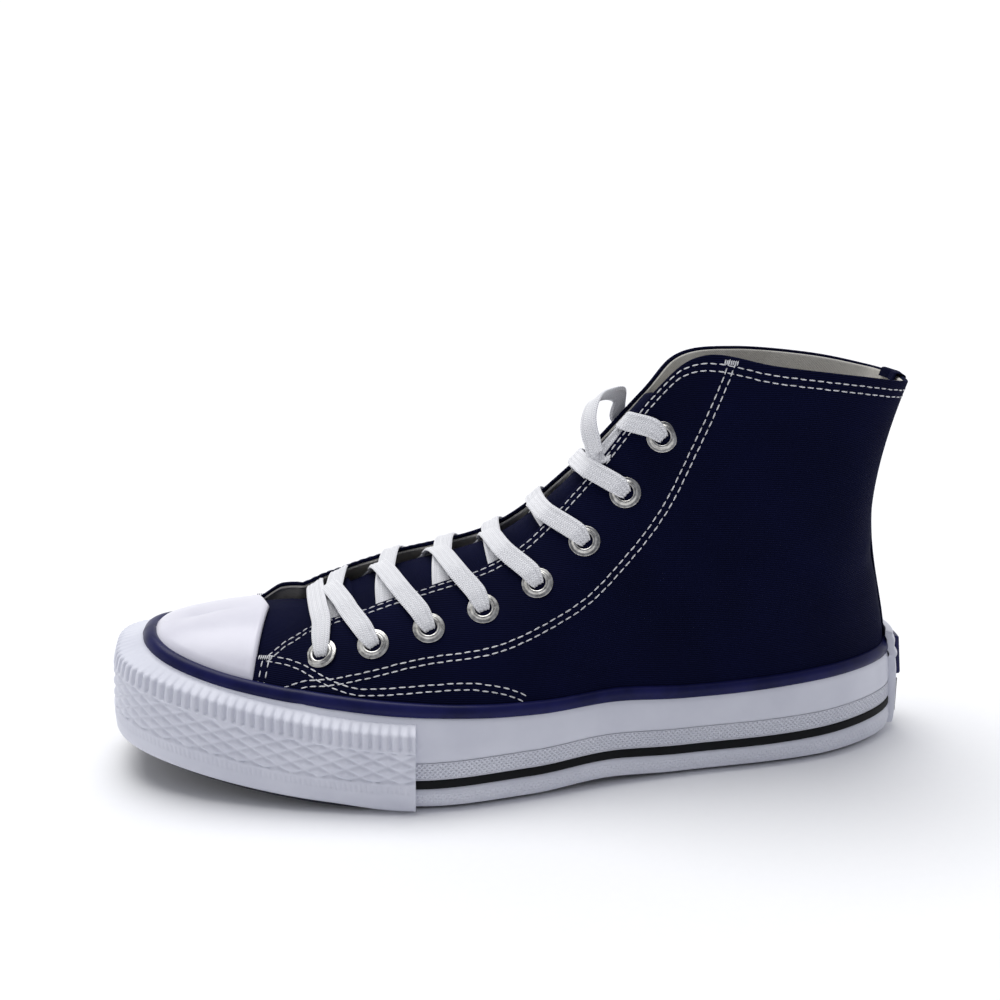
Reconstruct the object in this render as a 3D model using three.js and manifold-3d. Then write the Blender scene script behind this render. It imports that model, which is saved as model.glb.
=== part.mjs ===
// A high-top canvas sneaker, left shoe, standing empty on its sole.
// Millimetres. While it is built, x runs from the back of the heel to the toe, y to the shoe's
// outer (lateral) side and z up from the floor. The finished group is shifted so that its origin
// is the middle of its footprint, on the floor.
import * as THREE from "three";
import { mergeVertices } from "three/addons/utils/BufferGeometryUtils.js";
import Module from "manifold-3d";

const wasm = await Module();
wasm.setup();

// Driving sizes
const HEEL_X = 4;
const TOE_X = 284;
const HEEL_ROUNDNESS = 2.9;
const TOE_ROUNDNESS = 3.1;
const SWING_START = 140;
const SWING = -8.5;
const SPRING_START = 183;
const SPRING = 14.5;
const ARCH_START = 92;
const ARCH_END = 150;
const ARCH_LIFT = 1.2;
const FEATHER_H = 7;
const WALL = 2;
const GAP = 0.35;
const RIM_H = 2.1;
const PIPING_WIDTH = 5.4;
const CAP_THICKNESS = 1.6;
const PAD_THICKNESS = 0.8;
const TONGUE_THICKNESS = 3;
const TONGUE_CLEARANCE = 1.5;
const TONGUE_TOP_PLACE = 5.1;
const TONGUE_TOE_PLACE = 10.5;
const INSOLE_THICKNESS = 3.5;
const EYELET_OUTER_R = 5.1;
const EYELET_BORE_R = 2.8;
const EYELET_BARREL_R = 3.2;
const EYELET_HOLE_R = 3.9;
const EYELET_STANDOFF = 0.9;
const LACE_WIDTH = 7.6;
const LACE_THICKNESS = 1.5;
const LACE_OVER_CANVAS = 3;
const LACE_OVER_EYELET = 3.8;
const LACE_IN_THROAT = 2;
const LACE_AT_EDGE = -1.7;

// Half-widths of the last's footprint, measured from its centre line
const WIDTHS = [
  // x, lateral, medial
  [4, 29.5, 30],
  [40, 35, 31.5],
  [80, 34.5, 28.5],
  [115, 37, 27.5],
  [150, 44, 32],
  [185, 49.5, 40],
  [215, 47.5, 44],
  [245, 44, 45.5],
  [284, 38.5, 41],
];

// Ribs of the upper, from the back seam round to the toe. A rib is a cubic curve that leaves the
// footprint at a share `along` of its half outline, rises by `rise` with an outward swell, and
// arrives at the top line from the direction (backX, outY, -dropZ). `gap` is the half-width of the
// collar or throat there, zero where the two sides meet, and `lift` raises the medial side's top.
const RIBS = [
  // along, topX, gap, topZ, lift, rise, swell, backX, outY, dropZ
  [0.0, 4.3, 0, 137, 0, 54, 6, 24, 0, 70],
  [0.09, 9.4, 16.5, 137.5, 0, 47, 4, 20, 0, 60],
  [0.2, 29.5, 24, 141, 0, 40, 2, 4, 3, 50],
  [0.3, 60, 23.5, 145, 0, 38, 1, 0, 4, 46],
  [0.375, 84, 16, 148, -2, 40, 1, -2, 7, 46],
  [0.44, 99, 9.5, 135, -1, 38, 1.5, -6, 12, 30],
  [0.51, 124.5, 11, 103.5, 0, 32, 2, -6, 16, 17],
  [0.59, 152, 14.5, 78, 1.5, 28, 3, -4, 17, 10],
  [0.67, 189, 18, 65, 3, 24, 4, -1, 19, 6],
  [0.715, 208, 16, 58.5, 2, 22, 4, 1, 21, 4],
  [0.74, 219, 0, 56, 0, 22, 4, 2, 36, 2.4],
  [0.765, 228, 0, 55.5, 0, 22, 4, 3, 35, 1.2],
  [0.83, 243, 0, 54.2, 0, 23, 3, 9, 30, 0.8],
  [0.9, 253.5, 0, 52.6, 0, 24, 2, 15, 21, 0.6],
  [0.955, 259, 0, 51.2, 0, 24.5, 1, 18.5, 10, 0.5],
  [1.0, 260.5, 0, 50.8, 0, 25, 1, 19.5, 0, 0.5],
];
const COLUMNS_PER_RIB = [4, 3, 2, 2, 2, 2, 2, 2, 2, 3, 1, 2, 2, 2, 2];
const THROAT_END_RIB = 9;
const RIDGE_RIB = 10;
const CAP_RIB = 11.5;

// Heights above the floor line of the sole: the foxing's top and the toe bumper's top
const HEIGHTS = [
  // along, foxing, bumper
  [0, 31, 27],
  [0.12, 30.5, 27],
  [0.3, 28, 27],
  [0.5, 29, 27.5],
  [0.7, 31.6, 28.8],
  [0.85, 32.2, 30.4],
  [1, 33, 31.6],
];
const BODY_ROWS = 6;
const FOXING_ROW = 2;
const PIPING_ROW = 3;
const TOP_ROW = PIPING_ROW + BODY_ROWS;

const clamp = (t, low, high) => Math.min(high, Math.max(low, t));
const ease = (t) => clamp(t, 0, 1) ** 2 * (3 - 2 * clamp(t, 0, 1));
const vec = (x, y, z) => new THREE.Vector3(x, y, z);
const along = (point, direction, length) => point.clone().addScaledVector(direction, length);

/** A column of a table at x, on a cubic that never overshoots its rows. */
function lookup(rows, column, x) {
  const last = rows.length - 1;
  const at = clamp(x, rows[0][0], rows[last][0]);
  const slope = (i) => (rows[i + 1][column] - rows[i][column]) / (rows[i + 1][0] - rows[i][0]);
  const tangent = (i) => {
    if (i === 0) return slope(0);
    if (i === last) return slope(last - 1);
    const product = slope(i - 1) * slope(i);
    return product > 0 ? (2 * product) / (slope(i - 1) + slope(i)) : 0;
  };
  const after = rows.findIndex((row) => row[0] > at);
  const k = after < 0 ? last - 1 : Math.max(0, after - 1);
  const span = rows[k + 1][0] - rows[k][0];
  const t = (at - rows[k][0]) / span;
  const rise = ease(t);
  const bend = t * (1 - t) * span;
  return rows[k][column] * (1 - rise) + rows[k + 1][column] * rise
    + bend * ((1 - t) * tangent(k) - t * tangent(k + 1));
}

/** All columns of a table at a row number that may fall between two rows (Catmull-Rom). */
function between(rows, place) {
  const last = rows.length - 1;
  const i = Math.min(last - 1, Math.floor(place));
  const f = place - i;
  return rows[0].map((_, c) => {
    const p1 = rows[i][c];
    const p2 = rows[i + 1][c];
    const p0 = i > 0 ? rows[i - 1][c] : 2 * p1 - p2;
    const p3 = i < last - 1 ? rows[i + 2][c] : 2 * p2 - p1;
    const square = 2 * p0 - 5 * p1 + 4 * p2 - p3;
    const cube = 3 * p1 - p0 - 3 * p2 + p3;
    return 0.5 * (2 * p1 + (p2 - p0) * f + square * f * f + cube * f ** 3);
  });
}

// The footprint of the last

/** Sideways place of the last's centre line. */
const centre = (x) => SWING * ease((x - SWING_START) / (TOE_X - SWING_START));

/** Height of the sole's underside: flat heel and forefoot, a low arch, and toe spring. */
function underside(x) {
  const arch = clamp((x - ARCH_START) / (ARCH_END - ARCH_START), 0, 1);
  const spring = Math.max(0, (x - SPRING_START) / (TOE_X + 6 - SPRING_START));
  return ARCH_LIFT * Math.sin(Math.PI * arch) ** 2 + SPRING * spring ** 2;
}

/** Footprint at t, from 0 at the heel's back to 1 at the toe's tip. */
function outline(t, side) {
  const c = Math.cos(Math.PI * t);
  const n = t < 0.5 ? HEEL_ROUNDNESS : TOE_ROUNDNESS;
  const reach = 0.5 - 0.5 * Math.sign(c) * Math.abs(c) ** (2 / n);
  const x = HEEL_X + (TOE_X - HEEL_X) * reach;
  const width = lookup(WIDTHS, side > 0 ? 1 : 2, x) * Math.abs(Math.sin(Math.PI * t)) ** (2 / n);
  return [x, centre(x) + side * width];
}

const OUTLINE_STEPS = 1600;

/** Arc-length shares along one side's outline. */
function measureOutline(side) {
  const lengths = [0];
  for (let i = 1; i <= OUTLINE_STEPS; i += 1) {
    const [x0, y0] = outline((i - 1) / OUTLINE_STEPS, side);
    const [x1, y1] = outline(i / OUTLINE_STEPS, side);
    lengths.push(lengths[i - 1] + Math.hypot(x1 - x0, y1 - y0));
  }
  return lengths.map((length) => length / lengths[OUTLINE_STEPS]);
}
const SHARES = { 1: measureOutline(1), [-1]: measureOutline(-1) };

/** Outline point at an arc-length share. */
function outlineAt(share, side) {
  const shares = SHARES[side];
  const wanted = clamp(share, 0, 1);
  let i = shares.findIndex((value) => value >= wanted);
  i = Math.max(1, i);
  const f = (wanted - shares[i - 1]) / (shares[i] - shares[i - 1]);
  return outline((i - 1 + f) / OUTLINE_STEPS, side);
}

/** Outward direction of the outline, level. */
function outward(share, side) {
  const step = 0.001;
  if (share < step) return vec(-1, 0, 0);
  if (share > 1 - step) return vec(1, 0, 0);
  const [x0, y0] = outlineAt(share - step, side);
  const [x1, y1] = outlineAt(share + step, side);
  return vec(-(y1 - y0) * side, (x1 - x0) * side, 0).normalize();
}

/** Point beside the footprint: `off` outward from it and `height` above the sole's underside. */
function foot(share, side, off, height) {
  const [x, y] = outlineAt(share, side);
  const point = along(vec(x, y, 0), outward(share, side), off);
  point.z = underside(x) + height;
  return point;
}

// The upper's surface

/** Control points of the rib at a rib number, on one side. */
function ribCurve(place, side) {
  const [share, topX, gap, topZ, lift, rise, swell, backX, outY, dropZ] = between(RIBS, place);
  const base = foot(share, side, 0, FEATHER_H);
  const shoulder = along(base, outward(share, side), swell).add(vec(0, 0, rise));
  const round = clamp(place - THROAT_END_RIB, 0, 1);
  const halfGap = round > 0 ? RIBS[THROAT_END_RIB][2] * Math.sqrt(1 - round * round) : Math.max(0, gap);
  const raise = side < 0 ? lift : 0;
  const top = vec(topX, centre(topX) + side * halfGap, topZ + raise);
  const approach = vec(topX + backX, centre(topX) + side * (gap + outY), top.z - dropZ);
  return new THREE.CubicBezierCurve3(base, shoulder, approach, top);
}

/** Share of a rib at which it has risen to a height above its foot's floor line. */
function riseTo(curve, height) {
  const wanted = curve.v0.z + height - FEATHER_H;
  let low = 0;
  let high = 0.7;
  for (let i = 0; i < 30; i += 1) {
    const mid = (low + high) / 2;
    if (curve.getPoint(mid).z < wanted) low = mid;
    else high = mid;
  }
  return low;
}

/** Share of a rib one length further on than another share. */
function stepOn(curve, share, length) {
  const step = 0.002;
  let left = length;
  let at = share;
  while (left > 0 && at < 1) {
    left -= curve.getPoint(at + step).distanceTo(curve.getPoint(at));
    at += step;
  }
  return at;
}

/** The shares of a rib where the grid's rows cross it: foot, foxing, piping and the canvas above. */
function rowShares(place, side) {
  const curve = ribCurve(place, side);
  const foxing = riseTo(curve, lookup(HEIGHTS, 1, between(RIBS, place)[0]));
  const piping = stepOn(curve, foxing, PIPING_WIDTH);
  const shares = [0, foxing / 2, foxing, piping];
  for (let k = 1; k <= BODY_ROWS; k += 1) shares.push(piping + (1 - piping) * (k / BODY_ROWS));
  return shares;
}

const PLACES = COLUMNS_PER_RIB.flatMap((count, rib) => Array.from({ length: count }, (_, k) => rib + k / count));
PLACES.push(RIBS.length - 1);
const LAST = PLACES.length - 1;
const RIDGE = PLACES.indexOf(RIDGE_RIB);
const CAP = PLACES.indexOf(CAP_RIB);
const FACING_COLUMN = PLACES.indexOf(4);
const STATIONS = [];
for (let i = 0; i <= LAST; i += 1) STATIONS.push([i, 1]);
for (let i = LAST - 1; i > 0; i -= 1) STATIONS.push([i, -1]);

/** The whole outer surface as one welded sheet: points, faces and a normal at each point. */
function makeSheet() {
  const points = [];
  const ids = new Map();
  const key = (i, j, side) => `${i},${j},${side}`;
  for (const side of [1, -1]) {
    for (let i = 0; i <= LAST; i += 1) {
      const shares = rowShares(PLACES[i], side);
      const curve = ribCurve(PLACES[i], side);
      for (let j = 0; j <= TOP_ROW; j += 1) {
        const shared = i === 0 || i === LAST || (j === TOP_ROW && i >= RIDGE);
        if (side < 0 && shared) {
          ids.set(key(i, j, side), ids.get(key(i, j, 1)));
        } else {
          ids.set(key(i, j, side), points.length);
          points.push(curve.getPoint(shares[j]));
        }
      }
    }
  }
  const id = (i, j, side) => ids.get(key(i, j, side));
  const cells = [];
  for (const side of [1, -1]) {
    for (let i = 0; i < LAST; i += 1) {
      for (let j = 0; j < TOP_ROW; j += 1) {
        const ring = [id(i, j, side), id(i, j + 1, side), id(i + 1, j + 1, side), id(i + 1, j, side)];
        if (side < 0) ring.reverse();
        cells.push({ i, j, faces: [[ring[0], ring[1], ring[2]], [ring[0], ring[2], ring[3]]] });
      }
    }
  }
  const normals = points.map(() => vec(0, 0, 0));
  for (const [a, b, c] of cells.flatMap((cell) => cell.faces)) {
    const normal = points[b].clone().sub(points[a]).cross(points[c].clone().sub(points[a]));
    for (const k of [a, b, c]) normals[k].add(normal);
  }
  normals.forEach((normal) => normal.normalize());
  return { points, normals, cells, id };
}
const SHEET = makeSheet();

/** Point of the sheet at a column and row, `off` outward along its normal. */
function onSheet(i, j, side, off) {
  const k = SHEET.id(i, j, side);
  return along(SHEET.points[k], SHEET.normals[k], off);
}

/** Point between two rows of the sheet, `off` outward. */
function betweenRows(i, j, f, side, off) {
  return onSheet(i, j, side, off).lerp(onSheet(i, j + 1, side, off), f);
}

// Solids from points

/** Geometry of a closed mesh, turned so that its faces point out. */
function closedGeometry(points, faces) {
  let volume = 0;
  for (const [a, b, c] of faces) volume += points[a].dot(points[b].clone().cross(points[c]));
  const index = faces.flatMap(([a, b, c]) => (volume > 0 ? [a, b, c] : [a, c, b]));
  const geometry = new THREE.BufferGeometry().setFromPoints(points);
  geometry.setIndex(index);
  return geometry;
}

/** A solid between two offsets of part of the sheet. */
function thicken(wanted, outer, inner) {
  const faces = SHEET.cells.filter(wanted).flatMap((cell) => cell.faces);
  const used = [...new Set(faces.flat())];
  const place = new Map(used.map((k, n) => [k, n]));
  const points = [
    ...used.map((k) => along(SHEET.points[k], SHEET.normals[k], outer)),
    ...used.map((k) => along(SHEET.points[k], SHEET.normals[k], inner)),
  ];
  const solid = [];
  const edges = new Set();
  for (const face of faces) {
    const [a, b, c] = face.map((k) => place.get(k));
    solid.push([a, b, c], [a + used.length, c + used.length, b + used.length]);
    for (const [p, q] of [[a, b], [b, c], [c, a]]) edges.add(`${p},${q}`);
  }
  for (const edge of edges) {
    const [p, q] = edge.split(",").map(Number);
    if (!edges.has(`${q},${p}`)) {
      solid.push([q, p, p + used.length], [q, p + used.length, q + used.length]);
    }
  }
  return closedGeometry(points, solid.filter(([a, b, c]) => a !== b && b !== c && c !== a));
}

/**
 * A solid through equal sections, either closed into a ring or capped at both ends. The first half
 * of a section runs up its outer side and the rest down its inner side, whose faces are split the
 * other way, so that nested pieces follow each other.
 */
function sweep(sections, isRing) {
  const size = sections[0].length;
  const points = sections.flat();
  const faces = [];
  const spans = isRing ? sections.length : sections.length - 1;
  for (let s = 0; s < spans; s += 1) {
    const here = s * size;
    const next = ((s + 1) % sections.length) * size;
    for (let k = 0; k < size; k += 1) {
      const m = (k + 1) % size;
      const [a, b, c, d] = [here + k, next + k, next + m, here + m];
      if (k < size / 2) faces.push([a, b, c], [a, c, d]);
      else faces.push([a, b, d], [b, c, d]);
    }
  }
  if (!isRing) {
    const end = (sections.length - 1) * size;
    for (let k = 0; k < size / 2 - 1; k += 1) {
      const far = size - 1 - k;
      faces.push([k, k + 1, far], [k + 1, far - 1, far]);
      faces.push([end + k, end + far, end + k + 1], [end + k + 1, end + far, end + far - 1]);
    }
  }
  return closedGeometry(points, faces);
}

/** A plate that fills the footprint, through layers of [offset, height]. */
function tower(layers) {
  const ring = STATIONS.length;
  const share = (i) => between(RIBS, PLACES[i])[0];
  const points = layers.flatMap(([off, height]) => STATIONS.map(([i, side]) => foot(share(i), side, off, height)));
  const faces = [];
  for (let layer = 0; layer < layers.length - 1; layer += 1) {
    for (let s = 0; s < ring; s += 1) {
      const a = layer * ring + s;
      const b = layer * ring + ((s + 1) % ring);
      faces.push([a, b, b + ring], [a, b + ring, a + ring]);
    }
  }
  const top = (layers.length - 1) * ring;
  for (let i = 0; i < LAST; i += 1) {
    const [a, b, c, d] = [i, i + 1, ring - i - 1, (ring - i) % ring];
    for (const [p, q, r] of [[a, b, c], [a, c, d]]) {
      if (p !== q && q !== r && p !== r) {
        faces.push([p, r, q], [top + p, top + q, top + r]);
      }
    }
  }
  return closedGeometry(points, faces);
}

/** The manifold-3d solid of a closed geometry. */
function toSolid(geometry) {
  const bare = geometry.clone();
  bare.deleteAttribute("normal");
  bare.deleteAttribute("uv");
  const merged = mergeVertices(bare, 1e-4);
  return new wasm.Manifold(new wasm.Mesh({
    numProp: 3,
    vertProperties: new Float32Array(merged.attributes.position.array),
    triVerts: new Uint32Array(merged.index.array),
  }));
}

/** The geometry of a manifold-3d solid. */
function fromSolid(solid) {
  const mesh = solid.getMesh();
  const geometry = new THREE.BufferGeometry();
  geometry.setAttribute("position", new THREE.BufferAttribute(new Float32Array(mesh.vertProperties), 3));
  geometry.setIndex(new THREE.BufferAttribute(new Uint32Array(mesh.triVerts), 1));
  return geometry;
}

// Materials
const finish = (color, roughness, metalness = 0) => new THREE.MeshStandardMaterial({ color, roughness, metalness });
const MATERIALS = {
  canvas: () => finish(0x1b1d45, 0.85),
  whiteRubber: () => finish(0xdcdde6, 0.45),
  navyRubber: () => finish(0x2a2a6a, 0.35),
  soleRubber: () => finish(0x15162e, 0.7),
  lining: () => finish(0xcfccc5, 0.9),
  nickel: () => finish(0xb8b6b2, 0.3, 1),
  lace: () => finish(0xf0eef2, 0.8),
};

const shoe = new THREE.Group();

/** Adds one named piece to the shoe. */
function addPiece(name, geometry, material) {
  const mesh = new THREE.Mesh(geometry, MATERIALS[material]());
  mesh.name = name;
  geometry.computeVertexNormals();
  shoe.add(mesh);
  return mesh;
}

// Sole

/** Rubber outsole: a rim under the foxing, a platform inside it, and cross grooves. */
function makeOutsole() {
  const top = FEATHER_H - GAP;
  const plate = tower([[2.4, 0], [3.2, RIM_H], [-GAP, RIM_H + 0.2], [-GAP, top]]);
  let solid = toSolid(plate);
  const grooves = [
    // first x, last x, pitch, length, centre y
    [22, 76, 9, 44, 2],
    [146, 182, 9, 60, 3],
  ];
  for (const [first, last, pitch, length, y] of grooves) {
    for (let x = first; x <= last; x += pitch) {
      const groove = new THREE.BoxGeometry(2.6, length, 2.4);
      groove.translate(x, y, 0);
      solid = solid.subtract(toSolid(groove));
    }
  }
  return fromSolid(solid);
}

/** Foxing section: outer points from the bottom up, then inner points down. */
function foxingSection(i, side) {
  const share = between(RIBS, PLACES[i])[0];
  const shoulder = lookup(HEIGHTS, 1, share) * 0.72;
  const bottom = RIM_H + GAP;
  return [
    foot(share, side, 3.2, bottom),
    foot(share, side, 4.2, bottom + 1.2),
    foot(share, side, 4.3, 8),
    foot(share, side, 3.8, shoulder),
    betweenRows(i, 1, 0.97, side, 2.3),
    onSheet(i, FOXING_ROW, side, GAP),
    onSheet(i, 1, side, GAP),
    foot(share, side, GAP, bottom + 0.2),
  ];
}

/** Section of the round-topped strip that covers the foxing's upper edge. */
function pipingSection(i, side) {
  return [
    betweenRows(i, FOXING_ROW, 0.08, side, GAP),
    betweenRows(i, FOXING_ROW, 0.08, side, 2.5),
    betweenRows(i, FOXING_ROW, 0.5, side, 2.9),
    betweenRows(i, FOXING_ROW, 0.88, side, 1.9),
    betweenRows(i, FOXING_ROW, 0.93, side, GAP),
  ];
}

/** Section of the thick strip round the toe, outer points up, then inner points down. */
function bumperSection(i, side) {
  const share = between(RIBS, PLACES[i])[0];
  const foxing = lookup(HEIGHTS, 1, share);
  const top = lookup(HEIGHTS, 2, share);
  const shoulder = foxing * 0.72;
  const bottom = RIM_H + GAP;
  const lean = (top - shoulder) / (foxing - shoulder);
  const ledge = foot(share, side, 3.8, shoulder).lerp(betweenRows(i, 1, 0.97, side, 2.3), lean);
  return [
    foot(share, side, 6.4, bottom),
    foot(share, side, 7.4, bottom + 2),
    foot(share, side, 7.7, 12),
    foot(share, side, 7.6, top - 1.6),
    foot(share, side, 6.6, top),
    along(ledge, outward(share, side), 1.2).add(vec(0, 0, 0.6)),
    foot(share, side, 4.9, shoulder),
    foot(share, side, 4.9, 9.8),
    foot(share, side, 5.1, 6.5),
    foot(share, side, 5.1, bottom),
  ];
}

/** Section of the rubber strip up the back of the heel, outer points up, then inner points down. */
function heelStripSection(i, side) {
  const share = between(RIBS, PLACES[i])[0];
  const shoulder = lookup(HEIGHTS, 1, share) * 0.72;
  const bottom = RIM_H + GAP;
  const inner = [
    foot(share, side, 4.8, bottom),
    foot(share, side, 4.8, 6.5),
    foot(share, side, 4.4, 9.8),
    foot(share, side, 4.3, shoulder),
    betweenRows(i, FOXING_ROW, 0.1, side, 3.0),
    betweenRows(i, FOXING_ROW, 0.5, side, 3.4),
    betweenRows(i, FOXING_ROW, 1, side, 2.4),
    betweenRows(i, PIPING_ROW, 0.7, side, GAP),
  ];
  const outer = inner.map((point) => along(point, outward(share, side), 2));
  outer[outer.length - 1].addScaledVector(outward(share, side), -0.9);
  return [...outer, ...inner.reverse()];
}

/** Section of the thin plain pad on the back of the heel strip. */
function heelPadSection(i, side) {
  const out = outward(between(RIBS, PLACES[i])[0], side);
  const behind = heelStripSection(i, side).slice(2, 6);
  const inner = behind.map((point) => along(point, out, GAP));
  const outer = behind.map((point) => along(point, out, GAP + PAD_THICKNESS));
  return [...outer, ...inner.reverse()];
}

/** Sections from a last column on the medial side round the heel to the lateral one. */
function roundHeel(section, reach) {
  const sections = [];
  for (let i = -reach; i <= reach; i += 1) sections.push(section(Math.abs(i), i < 0 ? -1 : 1));
  return sections;
}

addPiece("outsole", makeOutsole(), "soleRubber");
addPiece("foxing", sweep(STATIONS.map(([i, side]) => foxingSection(i, side)), true), "whiteRubber");
addPiece("piping", sweep(STATIONS.map(([i, side]) => pipingSection(i, side)), true), "navyRubber");
const BUMPER_RIB = 7.5;
const bumperStart = PLACES.indexOf(BUMPER_RIB);
const bumperStations = STATIONS.filter(([i]) => i >= bumperStart);
addPiece("toe_bumper", sweep(bumperStations.map(([i, side]) => bumperSection(i, side)), false), "whiteRubber");
addPiece("heel_strip", sweep(roundHeel(heelStripSection, 2), false), "whiteRubber");
addPiece("heel_pad", sweep(roundHeel(heelPadSection, 1), false), "navyRubber");

const insoleTop = FEATHER_H + INSOLE_THICKNESS;
const insole = tower([[-3.2, FEATHER_H], [-3.4, insoleTop]]);
addPiece("insole", insole, "lining");

// Upper, toe cap and tongue
const upperShell = thicken(() => true, 0, -WALL);
addPiece("toe_cap", thicken(({ i, j }) => i >= CAP && j >= PIPING_ROW, GAP + CAP_THICKNESS, GAP), "whiteRubber");

// Eyelets, through both facings
const EYELETS = [
  // rib place, share of the rib
  [9.7, 0.688],
  [8.43, 0.715],
  [7.72, 0.726],
  [7.24, 0.744],
  [6.63, 0.726],
  [6.01, 0.741],
  [5.48, 0.773],
  [4.94, 0.838],
];
const SIDES = [["lateral", 1], ["medial", -1]];

/** A point of the upper's surface with its outward normal and its direction up the rib. */
function frameAt(place, share, side) {
  const step = 0.01;
  const curve = ribCurve(place, side);
  const origin = curve.getPoint(share);
  const up = curve.getTangent(share);
  const ahead = ribCurve(place + step, side).getPoint(share);
  const forward = ahead.sub(ribCurve(place - step, side).getPoint(share));
  const normal = forward.cross(up).normalize().multiplyScalar(-side);
  return { origin, up, normal };
}
const eyeletFrame = (row, side) => frameAt(EYELETS[row][0], EYELETS[row][1], side);

/** Turns a geometry that stands on z = 0 so that it stands on a frame's surface. */
function standOn(geometry, { origin, normal }) {
  const turn = new THREE.Quaternion().setFromUnitVectors(vec(0, 0, 1), normal);
  return geometry.applyQuaternion(turn).translate(origin.x, origin.y, origin.z);
}

/** One eyelet: a rolled rim on the canvas and a barrel through it. */
function makeEyelet(frame) {
  const profile = [
    // radius, height above the canvas
    [EYELET_BORE_R, -WALL - 0.3],
    [EYELET_BARREL_R, -WALL - 0.3],
    [EYELET_BARREL_R, EYELET_STANDOFF],
    [EYELET_OUTER_R, EYELET_STANDOFF],
    [EYELET_OUTER_R - 0.7, EYELET_STANDOFF + 0.9],
    [EYELET_BORE_R, EYELET_STANDOFF + 0.8],
    [EYELET_BORE_R, -WALL - 0.3],
  ];
  const geometry = new THREE.LatheGeometry(profile.map(([r, y]) => new THREE.Vector2(r, y)), 10);
  return standOn(geometry.rotateX(Math.PI / 2), frame);
}

let drilled = toSolid(upperShell);
for (const [name, side] of SIDES) {
  EYELETS.forEach((_, row) => {
    const frame = eyeletFrame(row, side);
    const hole = new THREE.CylinderGeometry(EYELET_HOLE_R, EYELET_HOLE_R, 4 * WALL, 8);
    drilled = drilled.subtract(toSolid(standOn(hole.rotateX(Math.PI / 2), frame)));
    addPiece(`eyelet_${name}_${row + 1}`, makeEyelet(frame), "nickel");
  });
}
addPiece("upper", fromSolid(drilled), "canvas");

// Tongue, under the facings from the toe box to just below the top eyelets

/** Share of a rib at a distance below its top, measured along it. */
function shareBelowTop(place, side, distance) {
  const curve = ribCurve(place, side);
  let share = 1;
  let left = distance;
  while (left > 0) {
    left -= curve.getPoint(share).distanceTo(curve.getPoint(share - 0.004));
    share -= 0.004;
  }
  return share;
}

/** Point at the middle of the throat, `off` above the line between its two edges. */
function midThroat(place, off) {
  const [near, far] = [frameAt(place, 0.99, 1), frameAt(place, 0.99, -1)];
  const normal = near.normal.clone().add(far.normal);
  normal.y = 0;
  normal.normalize();
  return { origin: along(near.origin.clone().lerp(far.origin, 0.5), normal, off), normal };
}

/** Section of the tongue: its upper face from side to side, then its lower face back. */
function tongueSection(place) {
  const depth = WALL + TONGUE_CLEARANCE;
  const wing = (side) => [16, 9, 2].map((distance) => {
    const { origin, normal } = frameAt(place, shareBelowTop(place, side, distance), side);
    return { origin: along(origin, normal, -depth), normal };
  });
  const across = [...wing(1), midThroat(place, -depth), ...wing(-1).reverse()];
  const lower = across.map(({ origin, normal }) => along(origin, normal, -TONGUE_THICKNESS));
  return [...across.map(({ origin }) => origin), ...lower.reverse()];
}

const tongueSections = [];
const TONGUE_STEPS = 16;
for (let k = 0; k <= TONGUE_STEPS; k += 1) {
  const place = TONGUE_TOP_PLACE + (TONGUE_TOE_PLACE - TONGUE_TOP_PLACE) * (k / TONGUE_STEPS);
  tongueSections.push(tongueSection(place));
}
addPiece("tongue", sweep(tongueSections, false), "canvas");

// Laces: one bar across the front eyelets, then seven crossings up the throat

/** A flat woven strap along a route of points with normals. */
function strap(route) {
  const path = new THREE.CatmullRomCurve3(route.map(({ origin }) => origin));
  const steps = 2 * (route.length - 1);
  const sections = [];
  for (let k = 0; k <= steps; k += 1) {
    const at = (k / steps) * (route.length - 1);
    const i = Math.min(route.length - 2, Math.floor(at));
    const normal = route[i].normal.clone().lerp(route[i + 1].normal, at - i).normalize();
    const middle = path.getPoint(k / steps);
    const across = path.getTangent(k / steps).cross(normal).normalize();
    const corner = (u, v) => along(along(middle, across, (u * LACE_WIDTH) / 2), normal, (v * LACE_THICKNESS) / 2);
    sections.push([corner(-1, 1), corner(1, 1), corner(1, -1), corner(-1, -1)]);
  }
  return sweep(sections, false);
}

/** A frame moved along its normal. */
const lifted = ({ origin, normal }, off) => ({ origin: along(origin, normal, off), normal });

/** The outer end of a strap: on an eyelet, then over the facing to its edge. */
function overFacing(row, side) {
  const [place, share] = EYELETS[row];
  return [
    lifted(eyeletFrame(row, side), LACE_OVER_EYELET),
    lifted(frameAt(place, (share + 0.98) / 2, side), LACE_OVER_EYELET - 0.4),
    lifted(frameAt(place, 0.98, side), LACE_OVER_CANVAS + 0.6),
  ];
}

/** The inner end of a strap, where it goes down beside the facing's edge. */
function besideEdge(row, side) {
  const place = EYELETS[row][0];
  const edge = frameAt(place, 0.99, side);
  const middle = midThroat(place, 0);
  const origin = edge.origin.lerp(middle.origin, 0.7);
  return lifted({ origin, normal: middle.normal }, LACE_AT_EDGE);
}

/** Strap from an eyelet over its facing and down across the throat to the eyelet row below. */
function crossingStrap(row, side) {
  const place = (EYELETS[row][0] + EYELETS[row + 1][0]) / 2;
  return strap([...overFacing(row + 1, side), midThroat(place, LACE_IN_THROAT), besideEdge(row, -side)]);
}

const bar = [...overFacing(0, 1), midThroat(EYELETS[0][0], LACE_OVER_CANVAS), ...overFacing(0, -1).reverse()];
addPiece("lace_bar", strap(bar), "lace");
const facings = toSolid(thicken(({ i }) => i > FACING_COLUMN, GAP, -WALL - GAP));
for (let row = 0; row < EYELETS.length - 1; row += 1) {
  const crossing = toSolid(crossingStrap(row, 1)).add(toSolid(crossingStrap(row, -1)));
  addPiece(`lace_cross_${row + 1}`, fromSolid(crossing.subtract(facings)), "lace");
}

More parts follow.
